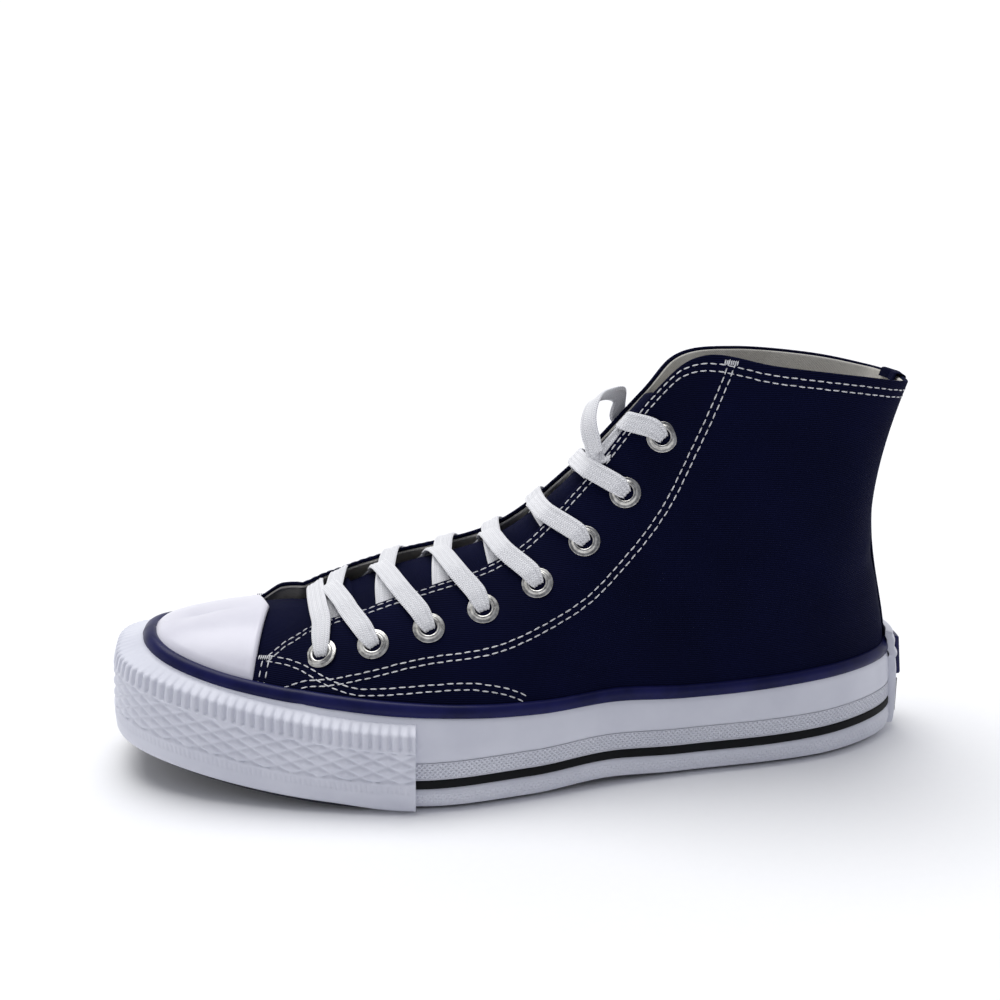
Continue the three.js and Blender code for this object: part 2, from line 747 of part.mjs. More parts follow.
const box = new THREE.Box3().setFromObject(shoe);
shoe.position.set(-(box.min.x + box.max.x) / 2, -(box.min.y + box.max.y) / 2, -box.min.z);

export default shoe;
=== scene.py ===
"""A high-top canvas sneaker, left shoe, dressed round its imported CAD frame.

Lengths are millimetres in the maker's own frame while a piece is shaped: x from the back of the
heel to the toe, y to the outer (lateral) side, z up from the floor. Each piece is moved into the
part's frame, in metres, as its mesh is made.
"""

import logging  # noqa: E402
import math  # noqa: E402
from dataclasses import dataclass, field  # noqa: E402
from enum import Enum  # noqa: E402
from functools import lru_cache  # noqa: E402
from typing import Dict, Iterable, List, Optional, Sequence, Tuple, Union  # noqa: E402

import bmesh  # noqa: E402
import bpy  # noqa: E402
import numpy as np  # noqa: E402
from mathutils import Matrix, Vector  # noqa: E402


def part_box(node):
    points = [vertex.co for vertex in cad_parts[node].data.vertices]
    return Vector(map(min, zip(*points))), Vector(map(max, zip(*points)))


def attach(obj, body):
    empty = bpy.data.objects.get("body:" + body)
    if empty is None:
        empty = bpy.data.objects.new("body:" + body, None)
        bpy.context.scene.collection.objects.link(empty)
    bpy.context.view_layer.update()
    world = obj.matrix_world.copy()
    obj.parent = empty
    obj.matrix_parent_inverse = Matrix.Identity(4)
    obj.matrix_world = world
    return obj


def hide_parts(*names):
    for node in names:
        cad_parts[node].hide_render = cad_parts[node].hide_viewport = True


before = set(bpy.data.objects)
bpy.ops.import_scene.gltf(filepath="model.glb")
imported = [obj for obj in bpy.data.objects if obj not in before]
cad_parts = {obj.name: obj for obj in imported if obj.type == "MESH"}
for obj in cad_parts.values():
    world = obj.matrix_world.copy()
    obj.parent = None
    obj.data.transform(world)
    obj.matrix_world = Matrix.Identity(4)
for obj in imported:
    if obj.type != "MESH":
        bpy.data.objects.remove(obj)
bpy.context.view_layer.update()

LOG = logging.getLogger("sneaker")
Array = np.ndarray
Colour = Tuple[float, float, float]
Value = Union["Wire", float, Sequence[float]]

LATERAL, MEDIAL = 1, -1
MM = 0.001
UP = np.array([0.0, 0.0, 1.0])

# ---- The last: the form that the whole shoe is made on ----

# Half-widths of the footprint from its centre line
WIDTHS = np.array([
    # x, lateral, medial
    [4, 29.5, 30],
    [40, 35, 31.5],
    [80, 34.5, 28.5],
    [115, 37, 27.5],
    [150, 44, 32],
    [185, 49.5, 40],
    [215, 47.5, 44],
    [245, 44, 45.5],
    [284, 38.5, 41],
])

# Ribs of the upper from the back seam round to the toe; lift is what the medial side adds to topZ
RIBS = np.array([
    # along, topX, gap, topZ, lift, rise, swell, backX, outY, dropZ
    [0.0, 4.3, 0, 137, 0, 54, 6, 24, 0, 70],
    [0.09, 9.4, 16.5, 137.5, 0, 47, 4, 20, 0, 60],
    [0.2, 29.5, 24, 141, 0, 40, 2, 4, 3, 50],
    [0.3, 60, 23.5, 145, -1, 38, 1, 0, 4, 46],
    [0.375, 84, 16, 148, -5, 40, 1, -2, 7, 46],
    [0.44, 99, 9.5, 135, -5, 38, 1.5, -6, 12, 30],
    [0.51, 124.5, 11, 103.5, -1.5, 32, 2, -6, 16, 17],
    [0.59, 152, 14.5, 78, 1.5, 28, 3, -4, 17, 10],
    [0.67, 189, 18, 65, 3, 24, 4, -1, 19, 6],
    [0.715, 208, 16, 58.5, 2, 22, 4, 1, 21, 4],
    [0.74, 219, 0, 56, 0, 22, 4, 2, 36, 2.4],
    [0.765, 228, 0, 55.5, 0, 22, 4, 3, 35, 1.2],
    [0.83, 243, 0, 54.2, 0, 23, 3, 9, 30, 0.8],
    [0.9, 253.5, 0, 52.6, 0, 24, 2, 15, 21, 0.6],
    [0.955, 259, 0, 51.2, 0, 24.5, 1, 18.5, 10, 0.5],
    [1.0, 260.5, 0, 50.8, 0, 25, 1, 19.5, 0, 0.5],
])

# Heights above the sole's underside: top of the foxing and of the toe bumper
HEIGHTS = np.array([
    # along, foxing, bumper
    [0, 31, 27],
    [0.12, 30.5, 27],
    [0.3, 28, 27],
    [0.5, 29, 27.5],
    [0.7, 31.6, 28.8],
    [0.85, 31.9, 30.4],
    [1, 32.2, 31.6],
])


def ease(t: Array) -> Array:
    """Smooth step from 0 to 1."""
    t = np.clip(t, 0, 1)
    return t * t * (3 - 2 * t)


def lookup(rows: Array, column: int, x: Array) -> Array:
    """A column of a table at x, on a cubic that never overshoots its rows.

    Args:
        rows: the table, its first column rising.
        column: the column wanted.
        x: where, in the first column's units.

    Returns:
        The column's values at x.
    """
    x = np.clip(np.asarray(x, float), rows[0, 0], rows[-1, 0])
    xs, ys = rows[:, 0], rows[:, column]
    slope = np.diff(ys) / np.diff(xs)
    product, total = slope[:-1] * slope[1:], slope[:-1] + slope[1:]
    inner = np.where(product > 0, 2 * product / np.where(total == 0, 1, total), 0)
    tangent = np.concatenate([[slope[0]], inner, [slope[-1]]])
    k = np.clip(np.searchsorted(xs, x, side="right") - 1, 0, len(xs) - 2)
    span = xs[k + 1] - xs[k]
    t = (x - xs[k]) / span
    bend = t * (1 - t) * span
    return ys[k] * (1 - ease(t)) + ys[k + 1] * ease(t) + bend * ((1 - t) * tangent[k] - t * tangent[k + 1])


def between(rows: Array, place: Array) -> Array:
    """All columns of a table at a row number that may fall between two rows (Catmull-Rom).

    Args:
        rows: the table.
        place: row numbers, of any shape.

    Returns:
        An array of place's shape with one more axis, the columns.
    """
    place = np.asarray(place, float)
    last = len(rows) - 1
    i = np.clip(np.floor(place).astype(int), 0, last - 1)
    f = (place - i)[..., None]
    p1, p2 = rows[i], rows[i + 1]
    p0 = np.where((i > 0)[..., None], rows[np.maximum(i - 1, 0)], 2 * p1 - p2)
    p3 = np.where((i < last - 1)[..., None], rows[np.minimum(i + 2, last)], 2 * p2 - p1)
    square = 2 * p0 - 5 * p1 + 4 * p2 - p3
    cube = 3 * p1 - p0 - 3 * p2 + p3
    return 0.5 * (2 * p1 + (p2 - p0) * f + square * f * f + cube * f**3)


def unit(v: Array) -> Array:
    """Vectors scaled to length 1."""
    return v / np.maximum(np.linalg.norm(v, axis=-1, keepdims=True), 1e-12)


@dataclass(frozen=True)
class Last:
    """The form of the foot and the upper's surface over it."""

    heel_x: float = 4.0
    toe_x: float = 284.0
    heel_roundness: float = 2.9
    toe_roundness: float = 3.1
    swing_start: float = 140.0
    swing: float = -8.5
    spring_start: float = 183.0
    spring_run: float = 107.0
    spring: float = 14.5
    arch_start: float = 92.0
    arch_end: float = 150.0
    arch_lift: float = 1.2
    feather: float = 7.0
    throat_end: int = 9
    throat_close: float = 1.3
    steps: int = 1600
    shares: Dict[int, Array] = field(default_factory=dict, compare=False)

    def __post_init__(self) -> None:
        """Measures both sides' outlines."""
        t = np.linspace(0, 1, self.steps + 1)
        for side in (LATERAL, MEDIAL):
            x, y = self.outline(t, side)
            run = np.concatenate([[0], np.cumsum(np.hypot(np.diff(x), np.diff(y)))])
            self.shares[side] = run / run[-1]

    @property
    def last_rib(self) -> int:
        """Number of the rib at the tip of the toe."""
        return len(RIBS) - 1

    def centre(self, x: Array) -> Array:
        """Sideways place of the last's centre line."""
        reach = (np.asarray(x, float) - self.swing_start) / (self.toe_x - self.swing_start)
        return self.swing * ease(reach)

    def underside(self, x: Array) -> Array:
        """Height of the sole's underside: flat heel and forefoot, low arch, toe spring.

        Args:
            x: places along the shoe.

        Returns:
            The heights.
        """
        arch = np.clip((x - self.arch_start) / (self.arch_end - self.arch_start), 0, 1)
        spring = np.maximum(0, (x - self.spring_start) / self.spring_run)
        return self.arch_lift * np.sin(np.pi * arch) ** 2 + self.spring * spring**2

    def outline(self, t: Array, side: int) -> Tuple[Array, Array]:
        """Footprint at t, from 0 at the back of the heel to 1 at the tip of the toe.

        Args:
            t: how far round.
            side: LATERAL or MEDIAL.

        Returns:
            x and y.
        """
        t = np.asarray(t, float)
        c = np.cos(np.pi * t)
        n = np.where(t < 0.5, self.heel_roundness, self.toe_roundness)
        reach = 0.5 - 0.5 * np.sign(c) * np.abs(c) ** (2 / n)
        x = self.heel_x + (self.toe_x - self.heel_x) * reach
        half = lookup(WIDTHS, 1 if side > 0 else 2, x) * np.abs(np.sin(np.pi * t)) ** (2 / n)
        return x, self.centre(x) + side * half

    def outline_at(self, share: Array, side: int) -> Tuple[Array, Array]:
        """Footprint at an arc-length share of one side."""
        t = np.interp(np.clip(share, 0, 1), self.shares[side], np.linspace(0, 1, self.steps + 1))
        return self.outline(t, side)

    def outward(self, share: Array, side: int) -> Array:
        """Level direction out of the footprint at a share of one side.

        Args:
            share: arc-length share of the outline.
            side: LATERAL or MEDIAL.

        Returns:
            Unit directions.
        """
        share = np.asarray(share, float)
        step = 0.001
        x0, y0 = self.outline_at(share - step, side)
        x1, y1 = self.outline_at(share + step, side)
        out = unit(np.stack([-(y1 - y0) * side, (x1 - x0) * side, 0 * x0], -1))
        out = np.where((share < step)[..., None], [-1.0, 0, 0], out)
        return np.where((share > 1 - step)[..., None], [1.0, 0, 0], out)

    def foot(self, share: Array, side: int, off: Array, height: Array) -> Array:
        """Points beside the footprint.

        Args:
            share: arc-length share of the side's outline.
            side: LATERAL or MEDIAL.
            off: distance outward.
            height: height above the underside.

        Returns:
            The points.
        """
        share, off, height = np.broadcast_arrays(*(np.asarray(v, float) for v in (share, off, height)))
        x, y = self.outline_at(share, side)
        points = np.stack([x, y, 0 * x], -1) + self.outward(share, side) * off[..., None]
        points[..., 2] = self.underside(x) + height
        return points

    def rib(self, place: Array, side: int) -> Tuple[Array, Array, Array, Array]:
        """Control points of the ribs at rib numbers, on one side.

        Args:
            place: rib numbers.
            side: LATERAL or MEDIAL.

        Returns:
            Base, shoulder, approach and top points.
        """
        place = np.asarray(place, float)
        row = np.moveaxis(between(RIBS, place), -1, 0)
        along, top_x, gap, top_z, lift, rise, swell, back, out, drop = row
        base = self.foot(along, side, 0, self.feather)
        shoulder = base + self.outward(along, side) * swell[..., None] + UP * rise[..., None]
        past = np.clip((place - self.throat_end) / self.throat_close, 0, 1)
        half = np.where(past > 0, RIBS[self.throat_end, 2] * (1 - past * past) ** 1.5, np.maximum(gap, 0))
        height = top_z + (lift if side < 0 else 0)
        top = np.stack([top_x, self.centre(top_x) + side * half, height], -1)
        approach = np.stack([top_x + back, self.centre(top_x) + side * (gap + out), height - drop], -1)
        return base, shoulder, approach, top

    def surface(self, place: Array, share: Array, side: int) -> Array:
        """Points of the upper's outer surface.

        Args:
            place: rib numbers.
            share: share of the way up each rib.
            side: LATERAL or MEDIAL.

        Returns:
            The points.
        """
        place, share = np.broadcast_arrays(np.asarray(place, float), np.asarray(share, float))
        base, shoulder, approach, top = self.rib(place, side)
        v = share[..., None]
        return (base * (1 - v) ** 3 + 3 * shoulder * v * (1 - v) ** 2
                + 3 * approach * v * v * (1 - v) + top * v**3)

    def wrap(self, signed: Array, share: Array) -> Array:
        """Surface points at signed rib numbers: positive lateral, negative medial.

        Args:
            signed: signed rib numbers.
            share: share of the way up each rib.

        Returns:
            The points.
        """
        signed, share = np.broadcast_arrays(np.asarray(signed, float), np.asarray(share, float))
        near = self.surface(np.abs(signed), share, LATERAL)
        far = self.surface(np.abs(signed), share, MEDIAL)
        return np.where((signed >= 0)[..., None], near, far)

    def frame_at(self, place: Array, share: Array, side: int) -> Tuple[Array, Array, Array]:
        """Point, outward normal and upward tangent of the surface.

        Args:
            place: rib numbers.
            share: share of the way up each rib.
            side: LATERAL or MEDIAL.

        Returns:
            Points, normals and tangents.
        """
        step = 0.01
        share = np.asarray(share, float)
        point = self.surface(place, share, side)
        low, high = np.clip(share - step, 0, 1), np.clip(share + step, 0, 1)
        rise = self.surface(place, high, side) - self.surface(place, low, side)
        place = np.asarray(place)
        ahead = self.surface(place + step, share, side) - self.surface(place - step, share, side)
        normal = unit(np.cross(ahead, rise)) * -side
        return point, normal, unit(rise)

    def lengths(self, place: Array, side: int, samples: int = 161) -> Tuple[Array, Array]:
        """Shares and the length of rib below each, for ribs at places.

        Args:
            place: rib numbers, one axis.
            side: LATERAL or MEDIAL.
            samples: how many shares.

        Returns:
            The shares, and an array (places, samples) of lengths.
        """
        share = np.linspace(0, 1, samples)
        points = self.surface(np.asarray(place)[:, None], share[None, :], side)
        run = np.cumsum(np.linalg.norm(np.diff(points, axis=1), axis=-1), axis=1)
        return share, np.concatenate([np.zeros((len(run), 1)), run], axis=1)

    def share_at_height(self, place: Array, side: int, height: Array) -> Array:
        """Share of each rib at a height above its own floor line.

        Args:
            place: rib numbers.
            side: LATERAL or MEDIAL.
            height: height above the floor line.

        Returns:
            One share a rib.
        """
        share = np.linspace(0, 0.7, 141)
        points = self.surface(np.asarray(place)[:, None], share[None, :], side)
        rise = points[..., 2] - points[:, :1, 2] + self.feather
        height = np.broadcast_to(height, (len(points),))
        return np.array([np.interp(h, row, share) for h, row in zip(height, rise)])

    def share_on(self, place: Array, side: int, share: Array, length: Array) -> Array:
        """Share of each rib a length further on than another share.

        Args:
            place: rib numbers.
            side: LATERAL or MEDIAL.
            share: where to start on each rib.
            length: how much further up.

        Returns:
            One share a rib.
        """
        samples, run = self.lengths(place, side)
        share, length = np.broadcast_to(share, (len(run),)), np.broadcast_to(length, (len(run),))
        out = []
        for row, s, step in zip(run, share, length):
            out.append(np.interp(np.interp(s, samples, row) + step, row, samples))
        return np.array(out)


LAST = Last()


def along_of(place: Array) -> Array:
    """Share of the footprint's side at a rib number."""
    return between(RIBS, place)[..., 0]


def place_of(along: Array) -> Array:
    """Rib number at a share of the footprint's side."""
    places = np.linspace(0, LAST.last_rib, 601)
    return np.interp(along, along_of(places), places)


def foxing_share(place: Array, side: int) -> Array:
    """Share of each rib at the foxing's top."""
    return LAST.share_at_height(place, side, lookup(HEIGHTS, 1, along_of(place)))


def piping_share(place: Array, side: int) -> Array:
    """Share of each rib at the piping's top."""
    return LAST.share_on(place, side, foxing_share(place, side), PIPING_WIDTH)


PIPING_WIDTH = 5.4
RIM_H = 2.1
GAP = 0.35
SOLE_EDGE = 3.2


def frame_shift() -> Array:
    """What takes the maker's frame to the part's: found from the outsole's box.

    Returns:
        The move, in mm.
    """
    low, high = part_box("outsole")
    shares = np.linspace(0, 1, 400)
    ring = np.concatenate([LAST.foot(shares, side, SOLE_EDGE, 0) for side in (LATERAL, MEDIAL)])
    middle = (np.array(low) + np.array(high)) / (2 * MM)
    return np.array([middle[0] - (ring[:, 0].min() + ring[:, 0].max()) / 2,
                     middle[1] - (ring[:, 1].min() + ring[:, 1].max()) / 2, 0.0])


SHIFT = frame_shift()


# ---- Meshes ----


class Slot(Enum):
    """Material slots of the part's record."""

    CANVAS = "canvas"
    WHITE_RUBBER = "white_rubber"
    NAVY_RUBBER = "navy_rubber"
    SOLE_RUBBER = "sole_rubber"
    LINING = "lining"
    NICKEL = "nickel"
    LACE = "lace"


class MeshBuilder:
    """Gathers points, faces and a map of the cloth's own lengths, and makes one object."""

    def __init__(self) -> None:
        """Starts empty."""
        self.points: List[Array] = []
        self.faces: List[Array] = []
        self.maps: List[Array] = []
        self.count = 0

    def add(self, points: Array, faces: Array, uv: Optional[Array] = None) -> None:
        """Adds points with quads that index them.

        Args:
            points: (n, 3) in the maker's frame.
            faces: (m, 4) of indices.
            uv: (n, 2) lengths along the material, in mm.
        """
        self.points.append(points)
        self.faces.append(faces + self.count)
        self.maps.append(np.zeros((len(points), 2)) if uv is None else uv)
        self.count += len(points)

    def grid(self, points: Array, uv: Optional[Array] = None, ring_u: bool = False,
             ring_v: bool = False) -> None:
        """Adds a sheet of quads.

        Args:
            points: (rows, columns, 3).
            uv: (rows, columns, 2).
            ring_u: whether the last row joins the first.
            ring_v: whether the last column joins the first.
        """
        rows, columns = points.shape[:2]
        i = np.arange(rows if ring_u else rows - 1)
        j = np.arange(columns if ring_v else columns - 1)
        i, j = (a.ravel() for a in np.meshgrid(i, j, indexing="ij"))
        i2, j2 = (i + 1) % rows, (j + 1) % columns
        faces = np.stack([i * columns + j, i2 * columns + j, i2 * columns + j2, i * columns + j2], -1)
        self.add(points.reshape(-1, 3), faces, None if uv is None else uv.reshape(-1, 2))

    def shell(self, outer: Array, inner: Array, uv: Array, ring: bool = False) -> None:
        """Adds a closed sheet between two faces.

        Args:
            outer: (rows, columns, 3) of the outer face.
            inner: the same of the inner face.
            uv: (rows, columns, 2).
            ring: whether the last row joins the first.
        """
        loop = np.concatenate([outer, inner[:, ::-1]], axis=1)
        self.grid(loop, np.concatenate([uv, uv[:, ::-1]], axis=1), ring_u=ring, ring_v=True)
        if not ring:
            size = loop.shape[1]
            half = size // 2
            for row in (0, len(loop) - 1):
                k = np.arange(half - 1)
                faces = np.stack([k, k + 1, size - 2 - k, size - 1 - k], -1)
                self.add(loop[row], faces, np.concatenate([uv[row], uv[row, ::-1]]))

    def make(self, name: str, smooth_angle: float = 40.0, weld: float = 0.002) -> bpy.types.Object:
        """Makes the object, in the part's frame, with its faces pointing out.

        Args:
            name: the piece's name.
            smooth_angle: edges sharper than this many degrees stay sharp.
            weld: points closer than this many mm become one.

        Returns:
            The new object.
        """
        points = (np.concatenate(self.points) + SHIFT) * MM
        mesh = bpy.data.meshes.new(name)
        mesh.from_pydata(points.tolist(), [], np.concatenate(self.faces).tolist())
        layer = mesh.uv_layers.new(name="cloth")
        uv = np.concatenate(self.maps)
        corners = np.empty(len(mesh.loops), int)
        mesh.loops.foreach_get("vertex_index", corners)
        layer.data.foreach_set("uv", uv[corners].astype(np.float32).ravel())
        work = bmesh.new()
        work.from_mesh(mesh)
        bmesh.ops.remove_doubles(work, verts=work.verts, dist=weld * MM)
        bmesh.ops.recalc_face_normals(work, faces=work.faces)
        work.to_mesh(mesh)
        work.free()
        mesh.shade_smooth()
        mesh.set_sharp_from_angle(angle=math.radians(smooth_angle))
        piece = bpy.data.objects.new(name, mesh)
        bpy.context.scene.collection.objects.link(piece)
        return piece


def normals_of(points: Array, ring_u: bool = False) -> Array:
    """Normals of a grid of points, by its differences both ways.

    Args:
        points: a grid of points.
        ring_u: whether the last row joins the first.

    Returns:
        Unit normals.
    """
    if ring_u:
        du = np.roll(points, -1, axis=0) - np.roll(points, 1, axis=0)
    else:
        du = np.gradient(points, axis=0)
    return unit(np.cross(du, np.gradient(points, axis=1)))


def lengths_along(line: Array) -> Array:
    """Length of a line up to each of its points."""
    return np.concatenate([[0], np.cumsum(np.linalg.norm(np.diff(line, axis=0), axis=1))])


def resample(line: Array, count: int) -> Array:
    """A line of points made of count evenly spaced ones."""
    run = lengths_along(line)
    return np.stack([np.interp(np.linspace(0, run[-1], count), run, column) for column in line.T], -1)


def cloth_map(points: Array) -> Array:
    """Lengths along and up a grid of points, in mm: rows run along, columns up.

    Args:
        points: a grid of points.

    Returns:
        (rows, columns, 2).
    """
    along = np.linalg.norm(np.diff(points, axis=0), axis=-1).mean(axis=1)
    up = np.linalg.norm(np.diff(points, axis=1), axis=-1)
    u = np.concatenate([[0], np.cumsum(along)])
    v = np.concatenate([np.zeros((len(points), 1)), np.cumsum(up, axis=1)], axis=1)
    return np.stack([np.broadcast_to(u[:, None], v.shape), v], -1)


def round_edge(distance: Array, radius: float) -> Array:
    """Share of full thickness at a distance in from a rounded edge."""
    t = np.clip(distance / radius, 0, 1)
    return np.sqrt(np.maximum(0, 1 - (1 - t) ** 2))


def settle(piece: bpy.types.Object, finish: "Finish",
           replaces: Iterable[str] = ()) -> bpy.types.Object:
    """Dresses a piece and ties it to the frame.

    Args:
        piece: the piece.
        finish: its finish.
        replaces: CAD nodes that the piece stands for.

    Returns:
        The piece.
    """
    piece.data.materials.append(finish.material())
    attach(piece, "root")
    names = list(replaces)
    if names:
        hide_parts(*names)
    return piece


def layer(name: str, outer: Array, inner: Array, uv: Array, angle: float, slot: Slot, finish: "Finish",
          replaces: Iterable[str] = (), ring: bool = False) -> bpy.types.Object:
    """Makes and dresses a closed sheet between two faces.

    Args:
        name: the piece's name.
        outer: (rows, columns, 3) of the outer face.
        inner: the same of the inner face.
        uv: (rows, columns, 2).
        angle: edges sharper than this many degrees stay sharp.
        slot: the record's material slot; not used.
        finish: its finish.
        replaces: CAD nodes that it stands for.
        ring: whether the last row joins the first.

    Returns:
        The piece.
    """
    builder = MeshBuilder()
    builder.shell(outer, inner, uv, ring=ring)
    return settle(builder.make(name, smooth_angle=angle), finish, replaces)


# ---- Shader words ----


class Wire:
    """A socket that takes part in Python expressions."""

    def __init__(self, nodes: "Nodes", socket: bpy.types.NodeSocket) -> None:
        """Keeps the socket and the nodes that it belongs to."""
        self.nodes = nodes
        self.socket = socket

    def _math(self, operation: str, *values: Value) -> "Wire":
        """A Math node on values."""
        return self.nodes.node("ShaderNodeMath", {"operation": operation}, dict(enumerate(values)))

    def __add__(self, other: Value) -> "Wire":
        """Sum."""
        return self._math("ADD", self, other)

    __radd__ = __add__

    def __sub__(self, other: Value) -> "Wire":
        """Difference."""
        return self._math("SUBTRACT", self, other)

    def __rsub__(self, other: Value) -> "Wire":
        """Difference from a number."""
        return self._math("SUBTRACT", other, self)

    def __mul__(self, other: Value) -> "Wire":
        """Product."""
        return self._math("MULTIPLY", self, other)

    __rmul__ = __mul__

    def sine(self) -> "Wire":
        """Sine."""
        return self._math("SINE", self)

    def absolute(self) -> "Wire":
        """Size without sign."""
        return self._math("ABSOLUTE", self)

    def most(self, other: Value) -> "Wire":
        """The greater."""
        return self._math("MAXIMUM", self, other)

    def ramp(self, low: float, high: float) -> "Wire":
        """0 at low, 1 at high, smooth between."""
        inputs = {"Value": self, "From Min": low, "From Max": high}
        return self.nodes.node("ShaderNodeMapRange", {"interpolation_type": "SMOOTHSTEP"}, inputs)


class Nodes:
    """A node tree and the method that adds nodes to it."""

    def __init__(self, tree: bpy.types.NodeTree) -> None:
        """Keeps the tree."""
        self.tree = tree

    def node(self, kind: str, settings: Dict[str, object], inputs: Dict[object, Value],
             output: Union[int, str] = 0) -> Wire:
        """Adds a node.

        Args:
            kind: the node's type.
            settings: its properties; "stops" are a ramp's positions and colours.
            inputs: values or wires by socket name or number.
            output: the socket to read.

        Returns:
            The wire of its output.
        """
        node = self.tree.nodes.new(kind)
        for key, value in settings.items():
            if key == "stops":
                ramp = node.color_ramp.elements
                while len(ramp) < len(value):
                    ramp.new(1.0)
                for element, (position, colour) in zip(ramp, value):
                    element.position, element.color = position, (*colour, 1.0)
            else:
                setattr(node, key, value)
        for key, value in inputs.items():
            self.connect(node.inputs[key], value)
        return Wire(self, node.outputs[output])

    def connect(self, socket: bpy.types.NodeSocket, value: Value) -> None:
        """Links a wire to a socket, or sets the socket's own value.

        Args:
            socket: the socket.
            value: a wire, a number or a colour.
        """
        if isinstance(value, Wire):
            self.tree.links.new(value.socket, socket)
        elif isinstance(value, (int, float)):
            socket.default_value = value
        else:
            wanted = len(socket.default_value)
            socket.default_value = tuple(value) + (1.0,) * (wanted - len(value))


class Shader(Nodes):
    """One material and the words that build its nodes."""

    def __init__(self, name: str) -> None:
        """Makes a material with one Principled shader.

        Args:
            name: the material's name.
        """
        self.made = bpy.data.materials.new(name)
        self.made.use_nodes = True
        super().__init__(self.made.node_tree)
        self.tree.nodes.clear()
        out = self.tree.nodes.new("ShaderNodeOutputMaterial")
        self.surface = self.tree.nodes.new("ShaderNodeBsdfPrincipled")
        self.tree.links.new(self.surface.outputs[0], out.inputs[0])

    def coordinates(self) -> Wire:
        """Places on the object, in mm."""
        place = self.node("ShaderNodeTexCoord", {}, {}, "Object")
        return self.node("ShaderNodeVectorMath", {"operation": "SCALE"}, {0: place, "Scale": 1 / MM})

    def cloth(self) -> Tuple[Wire, Wire]:
        """Lengths along and up the material, in mm.

        Returns:
            Both lengths.
        """
        place = self.node("ShaderNodeUVMap", {"uv_map": "cloth"}, {})
        along, up = (self.node("ShaderNodeSeparateXYZ", {}, {0: place}, k) for k in (0, 1))
        return along, up

    def noise(self, size: float, detail: float = 3.0, roughness: float = 0.5) -> Wire:
        """Soft noise whose lumps are about size mm across, from 0 to 1."""
        inputs = {"Vector": self.coordinates(), "Scale": 1 / size, "Detail": detail, "Roughness": roughness}
        return self.node("ShaderNodeTexNoise", {}, inputs)

    def mix(self, factor: Value, low: Value, high: Value) -> Wire:
        """A colour between two colours."""
        inputs = {0: factor, 6: low, 7: high}
        return self.node("ShaderNodeMix", {"data_type": "RGBA"}, inputs, 2)

    def bump(self, height: Wire, distance: float, strength: float = 1.0) -> Wire:
        """A normal bent by a height of 0 to 1 that stands for a distance in mm."""
        inputs = {"Height": height, "Distance": distance * MM, "Strength": strength}
        return self.node("ShaderNodeBump", {}, inputs)

    def finish(self, **sockets: Value) -> bpy.types.Material:
        """Sets the shader's sockets; underscores in a name stand for spaces.

        Args:
            sockets: values or wires by name.

        Returns:
            The material.
        """
        for name, value in sockets.items():
            self.connect(self.surface.inputs[name.replace("_", " ")], value)
        return self.made


class Finish:
    """A surface finish, made once as a material."""

    name: str = "finish"
    made: Dict[str, bpy.types.Material] = {}

    def build(self) -> bpy.types.Material:
        """Makes the material."""
        raise NotImplementedError

    def material(self) -> bpy.types.Material:
        """The material, made on first use.

        Returns:
            The material.
        """
        if self.name not in Finish.made:
            Finish.made[self.name] = self.build()
        return Finish.made[self.name]


@dataclass(frozen=True)
class Canvas(Finish):
    """Cotton canvas: fine ribs along the shoe, crossed by a finer warp, with a little fuzz."""

    name: str = "navy_canvas"
    deep: Colour = (0.0012, 0.0018, 0.0095)
    lit: Colour = (0.0042, 0.0056, 0.0360)
    rib: float = 0.72
    warp: float = 0.55
    depth: float = 0.16

    def build(self) -> bpy.types.Material:
        """Makes the material.

        Returns:
            The material.
        """
        s = Shader(self.name)
        along, up = s.cloth()
        wander = s.noise(9.0) * 0.5
        ribs = ((up + wander) * (2 * math.pi / self.rib)).sine() * 0.5 + 0.5
        warp = ((along + up * 0.5) * (2 * math.pi / self.warp)).sine() * 0.5 + 0.5
        weave = ribs * 0.7 + warp * ribs * 0.3
        fuzz = s.noise(0.5, 4.0, 0.7)
        cloud = s.noise(28.0, 3.0)
        tone = (weave * 0.45 + cloud * 0.35 + fuzz * 0.2).ramp(0.2, 0.85)
        height = weave * 0.8 + fuzz * 0.2
        return s.finish(
            Base_Color=s.mix(tone, self.deep, self.lit),
            Roughness=0.88 - weave * 0.08,
            Normal=s.bump(height, self.depth),
            Sheen_Weight=0.03,
            Sheen_Roughness=0.4,
            Sheen_Tint=(0.2, 0.25, 0.8),
            Specular_IOR_Level=0.05,
        )


@dataclass(frozen=True)
class Cotton(Finish):
    """Undyed cotton: lining, sock or thread."""

    name: str = "lining_cotton"
    deep: Colour = (0.42, 0.40, 0.36)
    lit: Colour = (0.72, 0.70, 0.65)
    pitch: float = 0.9
    depth: float = 0.12

    def build(self) -> bpy.types.Material:
        """Makes the material.

        Returns:
            The material.
        """
        s = Shader(self.name)
        along, up = s.cloth()
        weft = (up * (2 * math.pi / self.pitch)).sine()
        warp = (along * (2 * math.pi / self.pitch)).sine()
        weave = weft * warp * 0.5 + 0.5
        fuzz = s.noise(0.8, 4.0, 0.7)
        blotch = s.noise(14.0, 4.0)
        tone = (weave * 0.25 + fuzz * 0.25 + blotch * 0.5).ramp(0.25, 0.65)
        return s.finish(
            Base_Color=s.mix(tone, self.deep, self.lit),
            Roughness=0.95 - fuzz * 0.08,
            Normal=s.bump(weave * 0.6 + fuzz * 0.4, self.depth),
            Specular_IOR_Level=0.2,
        )


